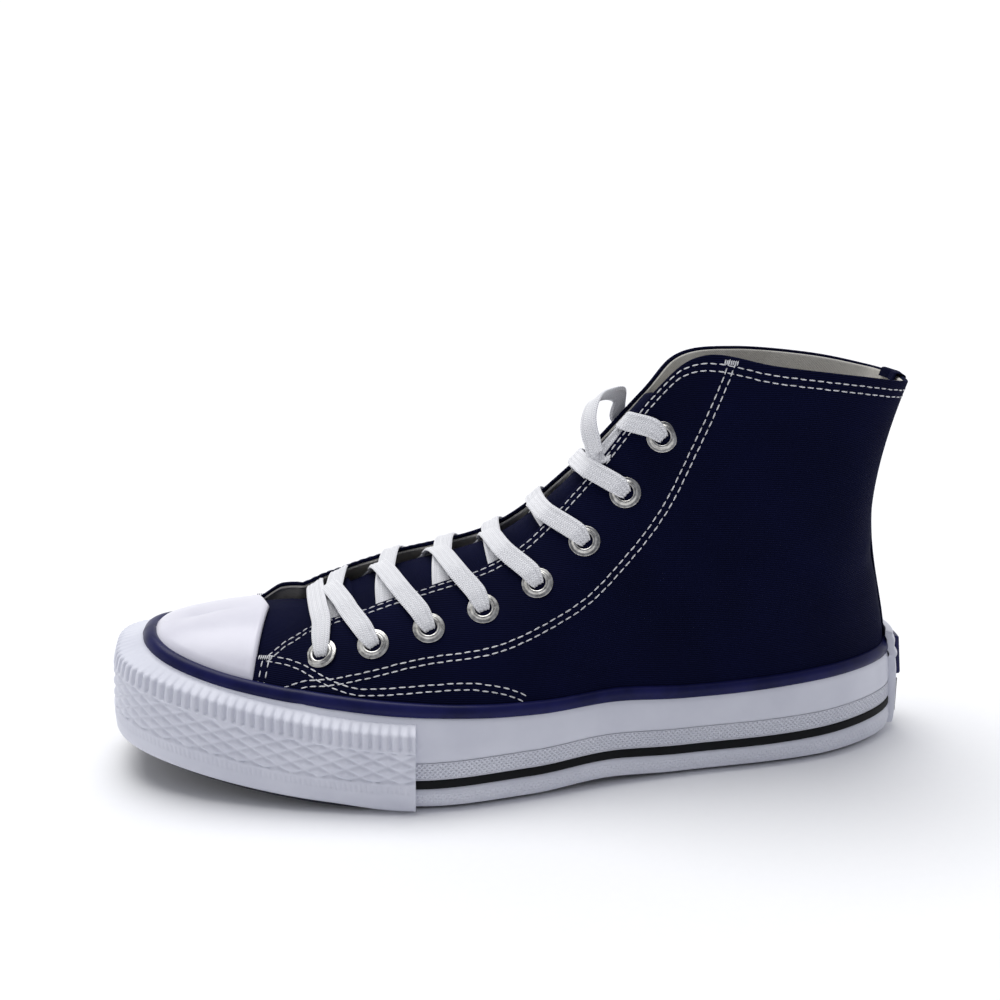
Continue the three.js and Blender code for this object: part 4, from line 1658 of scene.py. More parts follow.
@dataclass
class ToeBumper:
    """Thick rubber strip round the toe: ribs over lozenges over fine ribs, and a plain foot."""

    rib_pitch: float = 3.35
    rib_depth: float = 0.95
    lozenge_width: float = 9.4
    lozenge_height: float = 4.3
    lozenge_depth: float = 0.7
    fine_pitch: float = 1.72
    fine_depth: float = 0.25
    rib_band: float = 5.4
    lozenge_low: float = 11.2
    lozenge_drop: float = 5.8
    fine_low: float = 7.6
    fine_high: float = 10.6
    ledge_rise: float = 1.9
    ledge_rows: int = 7
    toe_lift: float = 1.1
    lift_from: float = 0.64
    reach: float = 7.4
    columns: int = 560
    rows: int = 58

    def texture(self, run: Array, height: Array, top: Array) -> Array:
        """Moulded relief at a length along the strip and a height.

        Args:
            run: length along the strip.
            height: heights above the underside.
            top: the strip's top.

        Returns:
            The relief, in mm.
        """
        rib_band = ease((height - (top - self.rib_band)) / 0.4) * ease((top + 0.3 - height) / 0.3)
        wave = np.abs(((run / self.rib_pitch) % 1) - 0.5) * 2
        ribs = ease((wave - 0.12) / 0.5) * self.rib_depth
        band = ease((height - self.lozenge_low) / 0.5) * ease((top - self.lozenge_drop - height) / 0.5)
        p = run / self.lozenge_width + height / self.lozenge_height
        q = run / self.lozenge_width - height / self.lozenge_height
        seam = 0.5 - np.maximum(np.abs(p % 1 - 0.5), np.abs(q % 1 - 0.5))
        pillow = ease(seam / 0.3) * 0.7 + seam * 0.6
        fine_band = ease((height - self.fine_low) / 0.3) * ease((self.fine_high - height) / 0.3)
        fine = ease((np.abs(((run / self.fine_pitch) % 1) - 0.5) * 2 - 0.2) / 0.5) * self.fine_depth
        return (rib_band * (ribs - self.rib_depth) + band * (pillow - 1) * self.lozenge_depth
                + fine_band * (fine - self.fine_depth))

    def build(self) -> None:
        """Builds and dresses the bumper."""
        share = np.linspace(BUMPER_FROM, 1, self.columns // 2)
        shares = np.concatenate([share, share[-2::-1]])
        sides = np.concatenate([np.full(len(share), LATERAL), np.full(len(share) - 1, MEDIAL)])
        marks = np.linspace(0, 1, self.rows)
        near = LAST.foot(share, LATERAL, self.reach, 0)
        outline = np.concatenate([near, LAST.foot(share[-2::-1], MEDIAL, self.reach, 0)])
        run = lengths_along(outline[:, :2])
        outer, inner, uv = [], [], []
        for s, side, length in zip(shares, sides, run):
            top = float(lookup(HEIGHTS, 2, s))
            bottom = WALL_FOOT + self.toe_lift * float(ease((s - self.lift_from) / 0.08))
            heights = bottom + (top - bottom) * marks
            rows = np.array([
                # height, offset
                [bottom, 5.9], [bottom + 0.5, 6.5], [bottom + 2, 7.0], [10, 7.3],
                [top - 6, 6.7], [top - 1.4, 5.7], [top - 0.5, 5.3], [top, 4.5],
            ])
            off = lookup(rows, 1, heights) + self.texture(length, heights, top)
            wall = wall_section(s, int(side), np.append(heights, top + self.ledge_rise))
            ledge = np.linspace(0, 1, self.ledge_rows)[1:]
            ledge_off = off[-1] + (wall[-1] + 0.15 - off[-1]) * ledge
            ledge_height = top + self.ledge_rise * ledge
            all_off = np.concatenate([off, ledge_off])
            all_height = np.concatenate([heights, ledge_height])
            outer.append(LAST.foot(np.full(len(all_off), s), int(side), all_off, all_height))
            behind = np.append(wall[:-1], np.full(len(ledge), wall[-1]))
            inside = np.minimum(behind - 0.6, all_off - 0.4)
            under = all_height - 0.3 * (all_height > top)
            inner.append(LAST.foot(np.full(len(all_off), s), int(side), inside, under))
            uv.append(np.stack([np.full(len(all_off), length), all_height], -1))
        layer("bumper", np.array(outer), np.array(inner), np.array(uv), 50,
              Slot.WHITE_RUBBER, WHITE_RUBBER, ["toe_bumper"])


@dataclass
class Outsole:
    """Dark rubber outsole: a rim that runs out to the wall and a tread of lozenges."""

    rim: float = 2.0
    toe_rim: float = 2.7
    tread: float = 1.1
    lozenge: float = 7.0
    plain_edge: float = 5.0
    stations: int = 290
    columns: int = 87

    def build(self) -> None:
        """Builds and dresses the outsole."""
        t = 0.5 - 0.5 * np.cos(np.pi * np.linspace(0, 1, self.stations))
        across = np.linspace(-1, 1, self.columns)
        x, near = LAST.outline(t, LATERAL)
        _, far = LAST.outline(t, MEDIAL)
        middle, half = (near + far) / 2, (near - far) / 2
        out_near = LAST.outward(self.share_of(t, LATERAL), LATERAL)
        out_far = LAST.outward(self.share_of(t, MEDIAL), MEDIAL)
        y = middle[:, None] + half[:, None] * across
        flat = np.stack([x[:, None] + 0 * y, y, 0 * y], -1)
        toe = ease((self.share_of(t, LATERAL) - 0.62) / 0.08)[:, None, None]
        grow = np.abs(across)[None, :, None] ** 6 * (self.rim + self.toe_rim * toe)
        flat = flat + np.where(across[None, :, None] >= 0, out_near[:, None], out_far[:, None]) * grow
        inset = half[:, None] * (1 - np.abs(across))
        inside = np.minimum(inset, np.minimum(x - x[0], x[-1] - x)[:, None] + 3)
        p = (flat[..., 0] + flat[..., 1]) / self.lozenge
        q = (flat[..., 0] - flat[..., 1]) / self.lozenge
        groove = np.maximum(np.abs(p % 1 - 0.5), np.abs(q % 1 - 0.5)) * 2
        cut = ease((groove - 0.72) / 0.12) * ease((inside - self.plain_edge) / 0.6) * self.tread
        lower = flat.copy()
        lower[..., 2] = LAST.underside(flat[..., 0]) + cut + 0.35 * (np.abs(across)[None, :] ** 24)
        upper = flat.copy()
        upper[..., 2] = LAST.underside(flat[..., 0]) + RIM_H
        builder = MeshBuilder()
        uv = np.stack([flat[..., 0], flat[..., 1]], -1)
        builder.shell(lower, upper, uv)
        settle(builder.make("outsole_rubber", smooth_angle=35), SOLE_RUBBER, ["outsole"])

    @staticmethod
    def share_of(t: Array, side: int) -> Array:
        """Arc-length share of one side at outline parameters."""
        return np.interp(t, np.linspace(0, 1, LAST.steps + 1), LAST.shares[side])


@dataclass
class Insole:
    """Cotton-topped insole, a little dished under the heel and the ball."""

    inset: float = 3.3
    low: float = 7.05
    high: float = 10.5
    dish: float = 0.7
    dish_width: float = 0.12
    heel_at: float = 0.12
    ball_at: float = 0.68
    stations: int = 180
    columns: int = 43

    def build(self) -> None:
        """Builds and dresses the insole."""
        t = 0.5 - 0.5 * np.cos(np.pi * np.linspace(0, 1, self.stations))
        across = np.linspace(-1, 1, self.columns)
        x, near = LAST.outline(t, LATERAL)
        _, far = LAST.outline(t, MEDIAL)
        share = Outsole.share_of(t, LATERAL)
        inset = self.inset * np.minimum(1, np.abs(np.sin(np.pi * t)) * 4)
        near, far = near - inset, far + inset
        x = np.clip(x, LAST.heel_x + self.inset, LAST.toe_x - self.inset)
        y = (near + far)[:, None] / 2 + (near - far)[:, None] / 2 * across
        grid = np.stack([x[:, None] + 0 * across, y, 0 * y], -1)
        edge = np.minimum(np.abs(near - far)[:, None] / 2 * (1 - np.abs(across)), 8) / 8
        places = (self.heel_at, self.ball_at)
        hollows = sum(np.exp(-(((share - at) / self.dish_width) ** 2)) for at in places)
        dish = self.dish * ease(edge) * hollows[:, None]
        upper = grid.copy()
        upper[..., 2] = LAST.underside(grid[..., 0]) + self.high - dish - 0.5 * (1 - ease(edge * 6))
        lower = grid.copy()
        lower[..., 2] = LAST.underside(grid[..., 0]) + self.low
        layer("insole_sock", upper, lower, np.stack([grid[..., 0], grid[..., 1]], -1), 50,
              Slot.LINING, SOCK, ["insole"])


@dataclass(frozen=True)
class Plate:
    """One plate's edges, how far it stands off the foxing, and its thickness."""

    half: float
    low: float
    high: float
    lift: float
    thick: float
    straight: bool = True


@dataclass
class HeelStrip:
    """Rubber strip up the back of the heel with a plain raised pad and a plain bar under it."""

    strip: Plate = Plate(11.0, 2.6, 40.0, 0.3, 2.3, straight=False)
    pad: Plate = Plate(7.0, 21.0, 36.5, 2.6, 1.9)
    bar: Plate = Plate(7.0, 5.0, 19.5, 2.0, 1.5)
    rows: int = 60
    columns: int = 41

    def sections(self, plate: Plate) -> Tuple[Array, Array, Array]:
        """A plate's grid on the back of the shoe.

        Args:
            plate: the plate.

        Returns:
            Points, outward directions, and each point's distance from the nearest edge.
        """
        across = np.linspace(-1, 1, self.columns) * plate.half
        heights = np.linspace(plate.low, plate.high, self.rows)
        total = {side: self.side_length(side) for side in (LATERAL, MEDIAL)}
        bulge = 1.0 * ease((heights - 29) / 2.0) * ease((38.5 - heights) / 2.5)
        points, outs = [], []
        for y in across:
            side = LATERAL if y >= 0 else MEDIAL
            share = abs(y) / total[side]
            off = wall_section(share, side, np.minimum(heights, float(lookup(HEIGHTS, 1, share)) + 2.0))
            off = off + plate.lift + bulge
            if plate.straight:
                off = np.interp(heights, [plate.low, plate.high], [off[0], off[-1]])
            points.append(LAST.foot(np.full(self.rows, share), side, off, heights))
            outs.append(np.broadcast_to(LAST.outward(np.array([share]), side), (self.rows, 3)))
        ends = np.minimum(heights - plate.low, plate.high - heights)
        edge = np.minimum(plate.half - np.abs(across)[:, None], ends[None, :])
        return np.array(points), np.array(outs), edge

    @staticmethod
    def side_length(side: int) -> float:
        """Length of one side's outline."""
        x, y = LAST.outline(np.linspace(0, 1, LAST.steps + 1), side)
        return float(np.hypot(np.diff(x), np.diff(y)).sum())

    def make(self, name: str, plate: Plate, slot: Slot, finish: Finish,
             replaces: Sequence[str] = ()) -> None:
        """Makes a round-edged plate on the back of the shoe.

        Args:
            name: the piece's name.
            plate: the plate.
            slot: the record's material slot.
            finish: its finish.
            replaces: CAD nodes that it stands for.
        """
        points, outs, edge = self.sections(plate)
        outer = points + outs * (plate.thick * round_edge(edge, 0.9))[..., None]
        inner = points - outs * 0.5
        layer(name, outer, inner, cloth_map(points), 60,
              slot, finish, replaces)

    def build(self) -> None:
        """Builds and dresses the strip, its pad and its bar."""
        self.make("heel_strip_rubber", self.strip, Slot.WHITE_RUBBER, WHITE_RUBBER, ["heel_strip"])
        self.make("heel_pad_rubber", self.pad, Slot.NAVY_RUBBER, PIPING_RUBBER, ["heel_pad"])
        self.make("heel_bar", self.bar, Slot.SOLE_RUBBER, STRIPE_RUBBER)


# ---- Trim ----

# Eyelets, from the toe up
EYELETS = np.array([
    # rib, share
    [9.7, 0.688],
    [8.43, 0.715],
    [7.72, 0.726],
    [7.24, 0.744],
    [6.63, 0.726],
    [6.01, 0.741],
    [5.48, 0.773],
    [4.94, 0.838],
])

# Seams sewn across the quarters, as (rib, share) marks
FACING_SEAM = (
    (3.58, 0.992), (3.75, 0.906), (4.01, 0.797), (4.44, 0.656), (4.96, 0.564), (5.5, 0.512), (6.07, 0.503),
    (6.86, 0.518), (7.62, 0.558), (8.31, 0.55), (9.15, 0.534), (9.9, 0.515), (10.61, 0.488), (11.09, 0.45),
)
VAMP_SEAM = (
    (11.36, 0.626), (11.1, 0.617), (10.5, 0.592), (9.82, 0.558), (9.13, 0.511), (8.63, 0.472), (7.96, 0.447),
    (7.5, 0.43), (7.08, 0.4), (6.53, 0.329), (6.19, 0.275),
)
FRONT_SEAM = ((11.46, 0.45), (11.42, 0.52), (11.39, 0.58), (11.37, 0.63))


@dataclass
class Stitching:
    """Rows of white thread, each stitch a short rounded bar pressed into the cloth."""

    pitch: float = 3.15
    length: float = 2.5
    radius: float = 0.205
    spacing: float = 2.2
    rise: float = 0.14
    sink: float = 0.02
    wobble: float = 0.1
    tack_stitches: int = 7
    throat_rows: Tuple[float, float] = (1.5, 3.7)
    collar_rows: Tuple[float, float] = (3.3, 5.9)
    rings: int = 7
    sides: int = 8
    builder: MeshBuilder = field(default_factory=MeshBuilder)

    def stitch(self, start: Array, end: Array, normal: Array) -> None:
        """Adds one stitch.

        Args:
            start: where it starts.
            end: where it ends.
            normal: the cloth's normal.
        """
        t = np.linspace(-1, 1, self.rings)
        along = unit(end - start)
        across = np.cross(along, normal)
        middle = start + (end - start) * (t[:, None] * 0.5 + 0.5)
        swell = np.sqrt(np.maximum(0, 1 - np.abs(t) ** 3.5))
        arch = normal * (self.rise * (1 - t * t) - self.sink)[:, None]
        turn = np.linspace(0, 2 * np.pi, self.sides, endpoint=False)
        circle = np.cos(turn)[:, None] * across * 1.15 + np.sin(turn)[:, None] * normal * 0.85
        radius = self.radius * np.maximum(swell, 0.05)
        rings = middle[:, None] + arch[:, None] + circle[None] * radius[:, None, None]
        uv = np.stack(np.broadcast_arrays(t[:, None] * self.length, turn[None, :]), -1)
        self.builder.grid(rings, uv, ring_v=True)
        for ring in (rings[0], rings[-1]):
            k = np.arange(self.sides // 2 - 1)
            faces = np.stack([k, k + 1, self.sides - 2 - k, self.sides - 1 - k], -1)
            self.builder.add(ring, faces)

    def row(self, points: Array, normals: Array, offset: float) -> None:
        """Adds a row of stitches along a line on the cloth, moved sideways by an offset.

        Args:
            points: a grid of points.
            normals: the cloth's normals.
            offset: how far sideways.
        """
        across = unit(np.cross(np.gradient(points, axis=0), normals))
        line = points + across * offset
        run = lengths_along(line)
        count = int(run[-1] / self.pitch)
        starts = np.arange(count) * (run[-1] / max(count, 1))

        def at(values: Array, where: float) -> Array:
            """A value of the line at a length along it."""
            return np.array([np.interp(where, run, values[:, k]) for k in range(3)])

        for k, start in enumerate(starts):
            nearest = min(len(across) - 1, int(start / run[-1] * len(across)))
            wobble = across[nearest] * self.wobble * math.sin(k * 2.4)
            first, second = at(line, start) + wobble, at(line, start + self.length)
            self.stitch(first, second, unit(at(normals, start + self.length / 2)))

    def on_cloth(self, place: Array, share: Array, side: int) -> Tuple[Array, Array]:
        """Points on the quarters' outer face, with normals.

        Args:
            place: rib numbers.
            share: share of the way up each rib.
            side: LATERAL or MEDIAL.

        Returns:
            Points and normals.
        """
        point, normal, _ = LAST.frame_at(place, share, side)
        samples, run = LAST.lengths(place, side)
        top = edge_share(place)
        ends = np.array([np.interp(end, samples, row) for end, row in zip(top, run)])
        distance = ends - np.array([np.interp(at, samples, row) for at, row in zip(share, run)])
        column = 1 if side > 0 else 2
        flare = lookup(FLARE, column, place) * np.exp(-((distance / FLARE_REACH) ** 2))
        crease = sum(c.height(point) for c in CREASES if c.side == side)
        return point + normal * (QUARTER_OUT + flare + crease)[:, None], normal

    def seam(self, marks: Sequence[Tuple[float, float]], side: int) -> None:
        """Adds a double row along marks on one side.

        Args:
            marks: rib and share of each mark.
            side: LATERAL or MEDIAL.
        """
        dense = between(np.array(marks), np.linspace(0, len(marks) - 1, 40 * len(marks)))
        points, normals = self.on_cloth(dense[:, 0], dense[:, 1], side)
        for offset in (-self.spacing / 2, self.spacing / 2):
            self.row(points, normals, offset)

    def edge_rows(self, side: int) -> None:
        """Adds the double row that follows the collar and the throat.

        Args:
            side: LATERAL or MEDIAL.
        """
        place = np.linspace(0.18, 11.38, 420)
        top = edge_share(place)
        collar = 1 - ease((place - 3.6) / 1.2)
        for throat_row, collar_row in zip(self.throat_rows, self.collar_rows):
            distance = throat_row * (1 - collar) + collar_row * collar
            share = LAST.share_on(place, side, top, -distance)
            points, normals = self.on_cloth(place, share, side)
            self.row(points, normals, 0.0)

    def tack(self, place: float, share: float, side: int, turn: float, width: float) -> None:
        """Adds a bar-tack: close zigzag stitches over a seam's end.

        Args:
            place: the rib.
            share: share of the way up it.
            side: LATERAL or MEDIAL.
            turn: how far it is turned, in radians.
            width: its length, in mm.
        """
        point, normal = (v[0] for v in self.on_cloth(np.array([place]), np.array([share]), side))
        along = np.cos(turn) * np.array([1.0, 0, 0]) + np.sin(turn) * UP
        along = unit(along - normal * (along @ normal))
        across = np.cross(normal, along)
        for part in np.linspace(-0.5, 0.5, self.tack_stitches):
            middle = point + along * part * width + normal * 0.1
            self.stitch(middle - across * 0.9, middle + across * 0.9 + along * 0.3, normal)

    def build(self) -> None:
        """Sews and dresses every row."""
        for side in (LATERAL, MEDIAL):
            self.edge_rows(side)
            for marks in (FACING_SEAM, VAMP_SEAM, FRONT_SEAM):
                self.seam(marks, side)
            self.tack(11.38, 0.63, side, 0.3, 4.2)
            self.tack(3.6, 0.985, side, 0.1, 4.2)
        settle(self.builder.make("stitches", smooth_angle=80, weld=0.0001), THREAD)


@dataclass
class Eyelets:
    """Rolled nickel rings with their barrels."""

    outer: float = 5.5
    bore: float = 2.85
    bead: float = 1.5
    around: int = 48

    def profile(self) -> Array:
        """Radius and height of the ring's section: a sloped flange, a rolled bead and the barrel.

        Returns:
            (n, 2) of radius and height.
        """
        flange, bore, bead = self.outer, self.bore, self.bead
        marks = np.array([
            # radius, height
            [flange, 0.4], [flange + 0.02, 0.62], [flange - 0.12, 0.8], [flange - 0.45, 0.86],
            [flange - 0.95, 0.92], [bore + 1.35, bead - 0.36], [bore + 1.05, bead - 0.1],
            [bore + 0.75, bead], [bore + 0.4, bead - 0.04],
            [bore + 0.14, bead - 0.24], [bore + 0.02, bead - 0.6], [bore, 0.4], [bore, -2.2],
        ])
        smooth = between(marks, np.linspace(0, len(marks) - 1, 3 * len(marks)))
        return np.concatenate([smooth, [[bore + 0.4, -2.2], [bore + 0.45, 0.2], [flange - 0.3, 0.2]]])

    def build(self) -> None:
        """Builds and dresses both rows."""
        turn = np.linspace(0, 2 * np.pi, self.around, endpoint=False)
        for side, name in ((LATERAL, "lateral"), (MEDIAL, "medial")):
            builder = MeshBuilder()
            for place, share in EYELETS:
                point, normal, up = LAST.frame_at(place, share, side)
                across = np.cross(normal, up)
                profile = self.profile()
                spoke = np.cos(turn)[:, None] * across + np.sin(turn)[:, None] * up
                ring = point + spoke[:, None] * profile[None, :, :1] + normal * profile[None, :, 1:]
                builder.grid(ring, None, ring_u=True, ring_v=True)
            nodes = [f"eyelet_{name}_{k + 1}" for k in range(len(EYELETS))]
            settle(builder.make(f"eyelets_{name}", smooth_angle=50), NICKEL, nodes)


@dataclass(frozen=True)
class Knot:
    """One point of a lace's route."""

    point: Array
    normal: Array
    width: float = 1.0
    thick: float = 1.0


@dataclass
class Laces:
    """One flat woven lace: a bar over the front eyelets and crossings up to the top ones."""

    width: float = 7.1
    thickness: float = 1.5
    grooves: int = 3
    groove_depth: float = 0.3
    over: float = 2.5
    slide: float = 0.82
    step: float = 0.8
    around: int = 36
    loop_marks: Tuple[Tuple[float, float, float], ...] = (
        # rib, part of the way over, height
        (5.75, 0.06, 1.2),
        (5.7, 0.2, 8.0),
        (5.6, 0.33, 12.0),
        (5.46, 0.46, 12.8),
        (5.34, 0.6, 10.6),
        (5.2, 0.8, 6.0),
    )

    def eyelet(self, row: int, side: int, height: float) -> Tuple[Array, Array]:
        """A point over or under an eyelet's centre, with the cloth's normal."""
        point, normal, _ = LAST.frame_at(EYELETS[row, 0], EYELETS[row, 1], side)
        return point + normal * height, normal

    def facing(self, row: int, side: int) -> float:
        """Length of cloth between an eyelet's centre and the facing's edge.

        Args:
            row: the eyelet's row.
            side: LATERAL or MEDIAL.

        Returns:
            The length, in mm.
        """
        place, share = EYELETS[row]
        samples, run = LAST.lengths(np.array([place]), side)
        edge = edge_share(np.array([place]))
        return float(np.interp(edge, samples, run[0]) - np.interp(share, samples, run[0]))

    def on_facing(self, place: float, side: int, inside: float, height: float) -> Knot:
        """A point over a facing, a length inside its edge.

        Args:
            place: the rib.
            side: LATERAL or MEDIAL.
            inside: length inside the edge.
            height: height over the cloth.

        Returns:
            The knot.
        """
        rib = np.array([place])
        share = LAST.share_on(rib, side, edge_share(rib), -np.array([inside]))
        point, normal, _ = LAST.frame_at(rib, share, side)
        return Knot(point[0] + normal[0] * height, normal[0])

    def over_throat(self, place: float, part: float, height: float) -> Knot:
        """A point over the throat, from 0 at the lateral facing's edge to 1 at the medial.

        Args:
            place: the rib.
            part: part of the way over.
            height: height over the throat.

        Returns:
            The knot.
        """
        edge = float(edge_share(np.array([place]))[0])
        near, n1, _ = LAST.frame_at(place, min(edge, 0.995), LATERAL)
        far, n2, _ = LAST.frame_at(place, min(edge, 0.995), MEDIAL)
        normal = unit(n1 * (1.3 - part) + n2 * (0.3 + part))
        crown = np.linalg.norm(far - near) * 0.05 * math.sin(math.pi * min(max(part, 0.0), 1.0))
        return Knot(near + (far - near) * part + normal * (height + crown), normal)

    def shortest(self, start: Tuple[int, int], end: Tuple[int, int]) -> Tuple[float, float]:
        """Ribs where a taut lace between two eyelets crosses the first facing's edge and the last one's.

        Args:
            start: row and side of the first eyelet.
            end: row and side of the other.

        Returns:
            The two ribs.
        """
        first, last = EYELETS[start[0], 0], EYELETS[end[0], 0]
        ribs = np.linspace(first, last, 31)
        leaves, arrives = (0.0 if side == LATERAL else 1.0 for side in (start[1], end[1]))
        near = np.array([self.over_throat(rib, leaves, 1.0).point for rib in ribs])
        far = np.array([self.over_throat(rib, arrives, -1.0).point for rib in ribs])
        leave = np.linalg.norm(near - self.eyelet(*start, 1.0)[0], axis=-1)
        arrive = np.linalg.norm(far - self.eyelet(*end, -2.0)[0], axis=-1)
        length = leave[:, None] + np.linalg.norm(near[:, None] - far[None], axis=-1) + arrive[None]
        best = np.unravel_index(length.argmin(), length.shape)
        most = int(self.slide * (len(ribs) - 1))
        return float(ribs[best[0]]), float(ribs[min(best[1], most)])

    def route(self, start: Tuple[int, int], end: Tuple[int, int], heights: Sequence[Tuple[float, float]],
              beyond: float = 2.5) -> List[Knot]:
        """Knots from outside one eyelet, over the throat, to the inside of another.

        Args:
            start: row and side of the first eyelet.
            end: row and side of the other.
            heights: part of the way over the throat, and height, of each knot over it.
            beyond: how far inside the last facing's edge the lace is held down.

        Returns:
            The knots.
        """
        first = EYELETS[start[0], 0]
        leave, arrive = self.shortest(start, end)
        near = self.facing(*start)

        def own(length: float, height: float) -> Knot:
            """A knot on the first facing at a length from its eyelet."""
            return self.on_facing(first + (leave - first) * length / near, start[1], near - length, height)

        lip = own(3.8, 1.5)
        mouth, normal = self.eyelet(*start, 0.5)
        onward = unit(lip.point - mouth)
        deep, _ = self.eyelet(*start, -3.4)
        knots = [
            Knot(deep + onward * 0.4, unit(-onward + normal * 0.1), 0.52, 1.7),
            Knot(mouth - onward * 0.2, unit(-onward * 0.8 + normal * 0.6), 0.66, 1.5),
            Knot(lip.point, unit(lip.normal - onward * 0.3), 0.9, 1.15),
            own(8.0, self.over - 0.4),
            own(near - 1.5, self.over),
        ]
        for part, height in heights:
            across = part if start[1] == LATERAL else 1 - part
            knots.append(self.over_throat(leave + (arrive - leave) * part, across, height))
        knots.append(self.on_facing(arrive, end[1], beyond, -2.7))
        under, inner = self.eyelet(*end, -3.0)
        knots.append(Knot(under, inner, 0.8))
        return knots

    def strap(self, builder: MeshBuilder, knots: Sequence[Knot]) -> None:
        """Adds one stretch of lace through knots.

        Args:
            builder: what gathers the mesh.
            knots: the lace's knots.
        """
        table = np.array([[*k.point, *k.normal, k.width, k.thick] for k in knots])
        rough = between(table, np.linspace(0, len(knots) - 1, 40 * len(knots)))
        run = lengths_along(rough[:, :3])
        wanted = np.linspace(0, run[-1], max(8, int(run[-1] / self.step)))
        line = np.stack([np.interp(wanted, run, rough[:, k]) for k in range(8)], -1)
        points, normals = line[:, :3], unit(line[:, 3:6])
        tangent = unit(np.gradient(points, axis=0))
        across = unit(np.cross(tangent, normals))
        normals = unit(np.cross(across, tangent))
        turn = np.linspace(0, 2 * np.pi, self.around, endpoint=False)
        u = np.sign(np.cos(turn)) * np.abs(np.cos(turn)) ** 0.55
        v = np.sign(np.sin(turn)) * np.abs(np.sin(turn)) ** 0.75
        waves = np.cos(u * np.pi * (self.grooves + 1)) * (np.abs(u) < 0.9)
        dent = 1 - self.groove_depth * waves - self.groove_depth * 0.6 * u * u
        half_w, half_t = self.width / 2 * line[:, 6], self.thickness / 2 * line[:, 7]
        ring = (points[:, None] + across[:, None] * (u[None, :, None] * half_w[:, None, None])
                + normals[:, None] * ((v * dent)[None, :, None] * half_t[:, None, None]))
        uv = np.stack(np.broadcast_arrays(wanted[:, None], (u * self.width / 2)[None, :]), -1)
        builder.grid(ring, uv, ring_v=True)
        for end in (0, -1):
            k = np.arange(self.around // 2 - 1)
            faces = np.stack([k, k + 1, self.around - 2 - k, self.around - 1 - k], -1)
            builder.add(ring[end], faces, uv[end])

    def make(self, name: str, straps: Sequence[Sequence[Knot]], nodes: Sequence[str]) -> None:
        """Makes one piece of lace from its stretches.

        Args:
            name: the piece's name.
            straps: the knots of each stretch.
            nodes: CAD nodes that it stands for.
        """
        builder = MeshBuilder()
        for knots in straps:
            self.strap(builder, knots)
        settle(builder.make(name, smooth_angle=75), LACE, nodes)

    def crossing(self, row: int, side: int) -> List[Knot]:
        """From outside an upper eyelet to inside the lower one opposite; the lateral strap lies on top.

        Args:
            row: the eyelet's row.
            side: LATERAL or MEDIAL.

        Returns:
            The knots.
        """
        if side == LATERAL:
            heights = ((0.12, 3.3), (0.45, 3.0), (0.7, 1.8), (0.92, -0.9))
        else:
            heights = ((0.12, 2.4), (0.45, 1.2), (0.7, 0.4), (0.92, -1.4))
        return self.route((row + 1, side), (row, -side), heights)

    def curl(self) -> List[Knot]:
        """The last stretch on the near side, which bends over the facing and goes in beneath."""
        last = len(EYELETS) - 1
        heights = ((0.1, 2.9), (0.34, 0.6), (0.5, -2.0), (0.9, -2.4))
        return self.route((last, LATERAL), (last - 1, MEDIAL), heights)

    def loop(self) -> List[Knot]:
        """The last stretch to the far side, which stands up in a slack loop.

        Returns:
            The knots.
        """
        last = len(EYELETS) - 1
        dive = self.route((last, MEDIAL), (last - 1, LATERAL), ())
        rise = [self.over_throat(place, part, height) for place, part, height in self.loop_marks]
        return [*dive[-1:-3:-1], *rise, *dive[4::-1]]

    def build(self) -> None:
        """Builds and dresses the lace."""
        near = self.route((0, LATERAL), (0, MEDIAL), ((0.15, 3.0), (0.5, 2.6), (0.85, 3.0)))[:-2]
        far = self.route((0, MEDIAL), (0, LATERAL), ())[:-2]
        self.make("lace_bar_front", [[*near, *far[::-1]]], ["lace_bar"])
        rows = len(EYELETS) - 1
        for row in range(rows):
            if row == rows - 1:
                straps = [self.curl(), self.loop()]
            else:
                straps = [self.crossing(row, LATERAL), self.crossing(row, MEDIAL)]
            self.make(f"lace_crossing_{row + 1}", straps, [f"lace_cross_{row + 1}"])


# ---- Studio ----


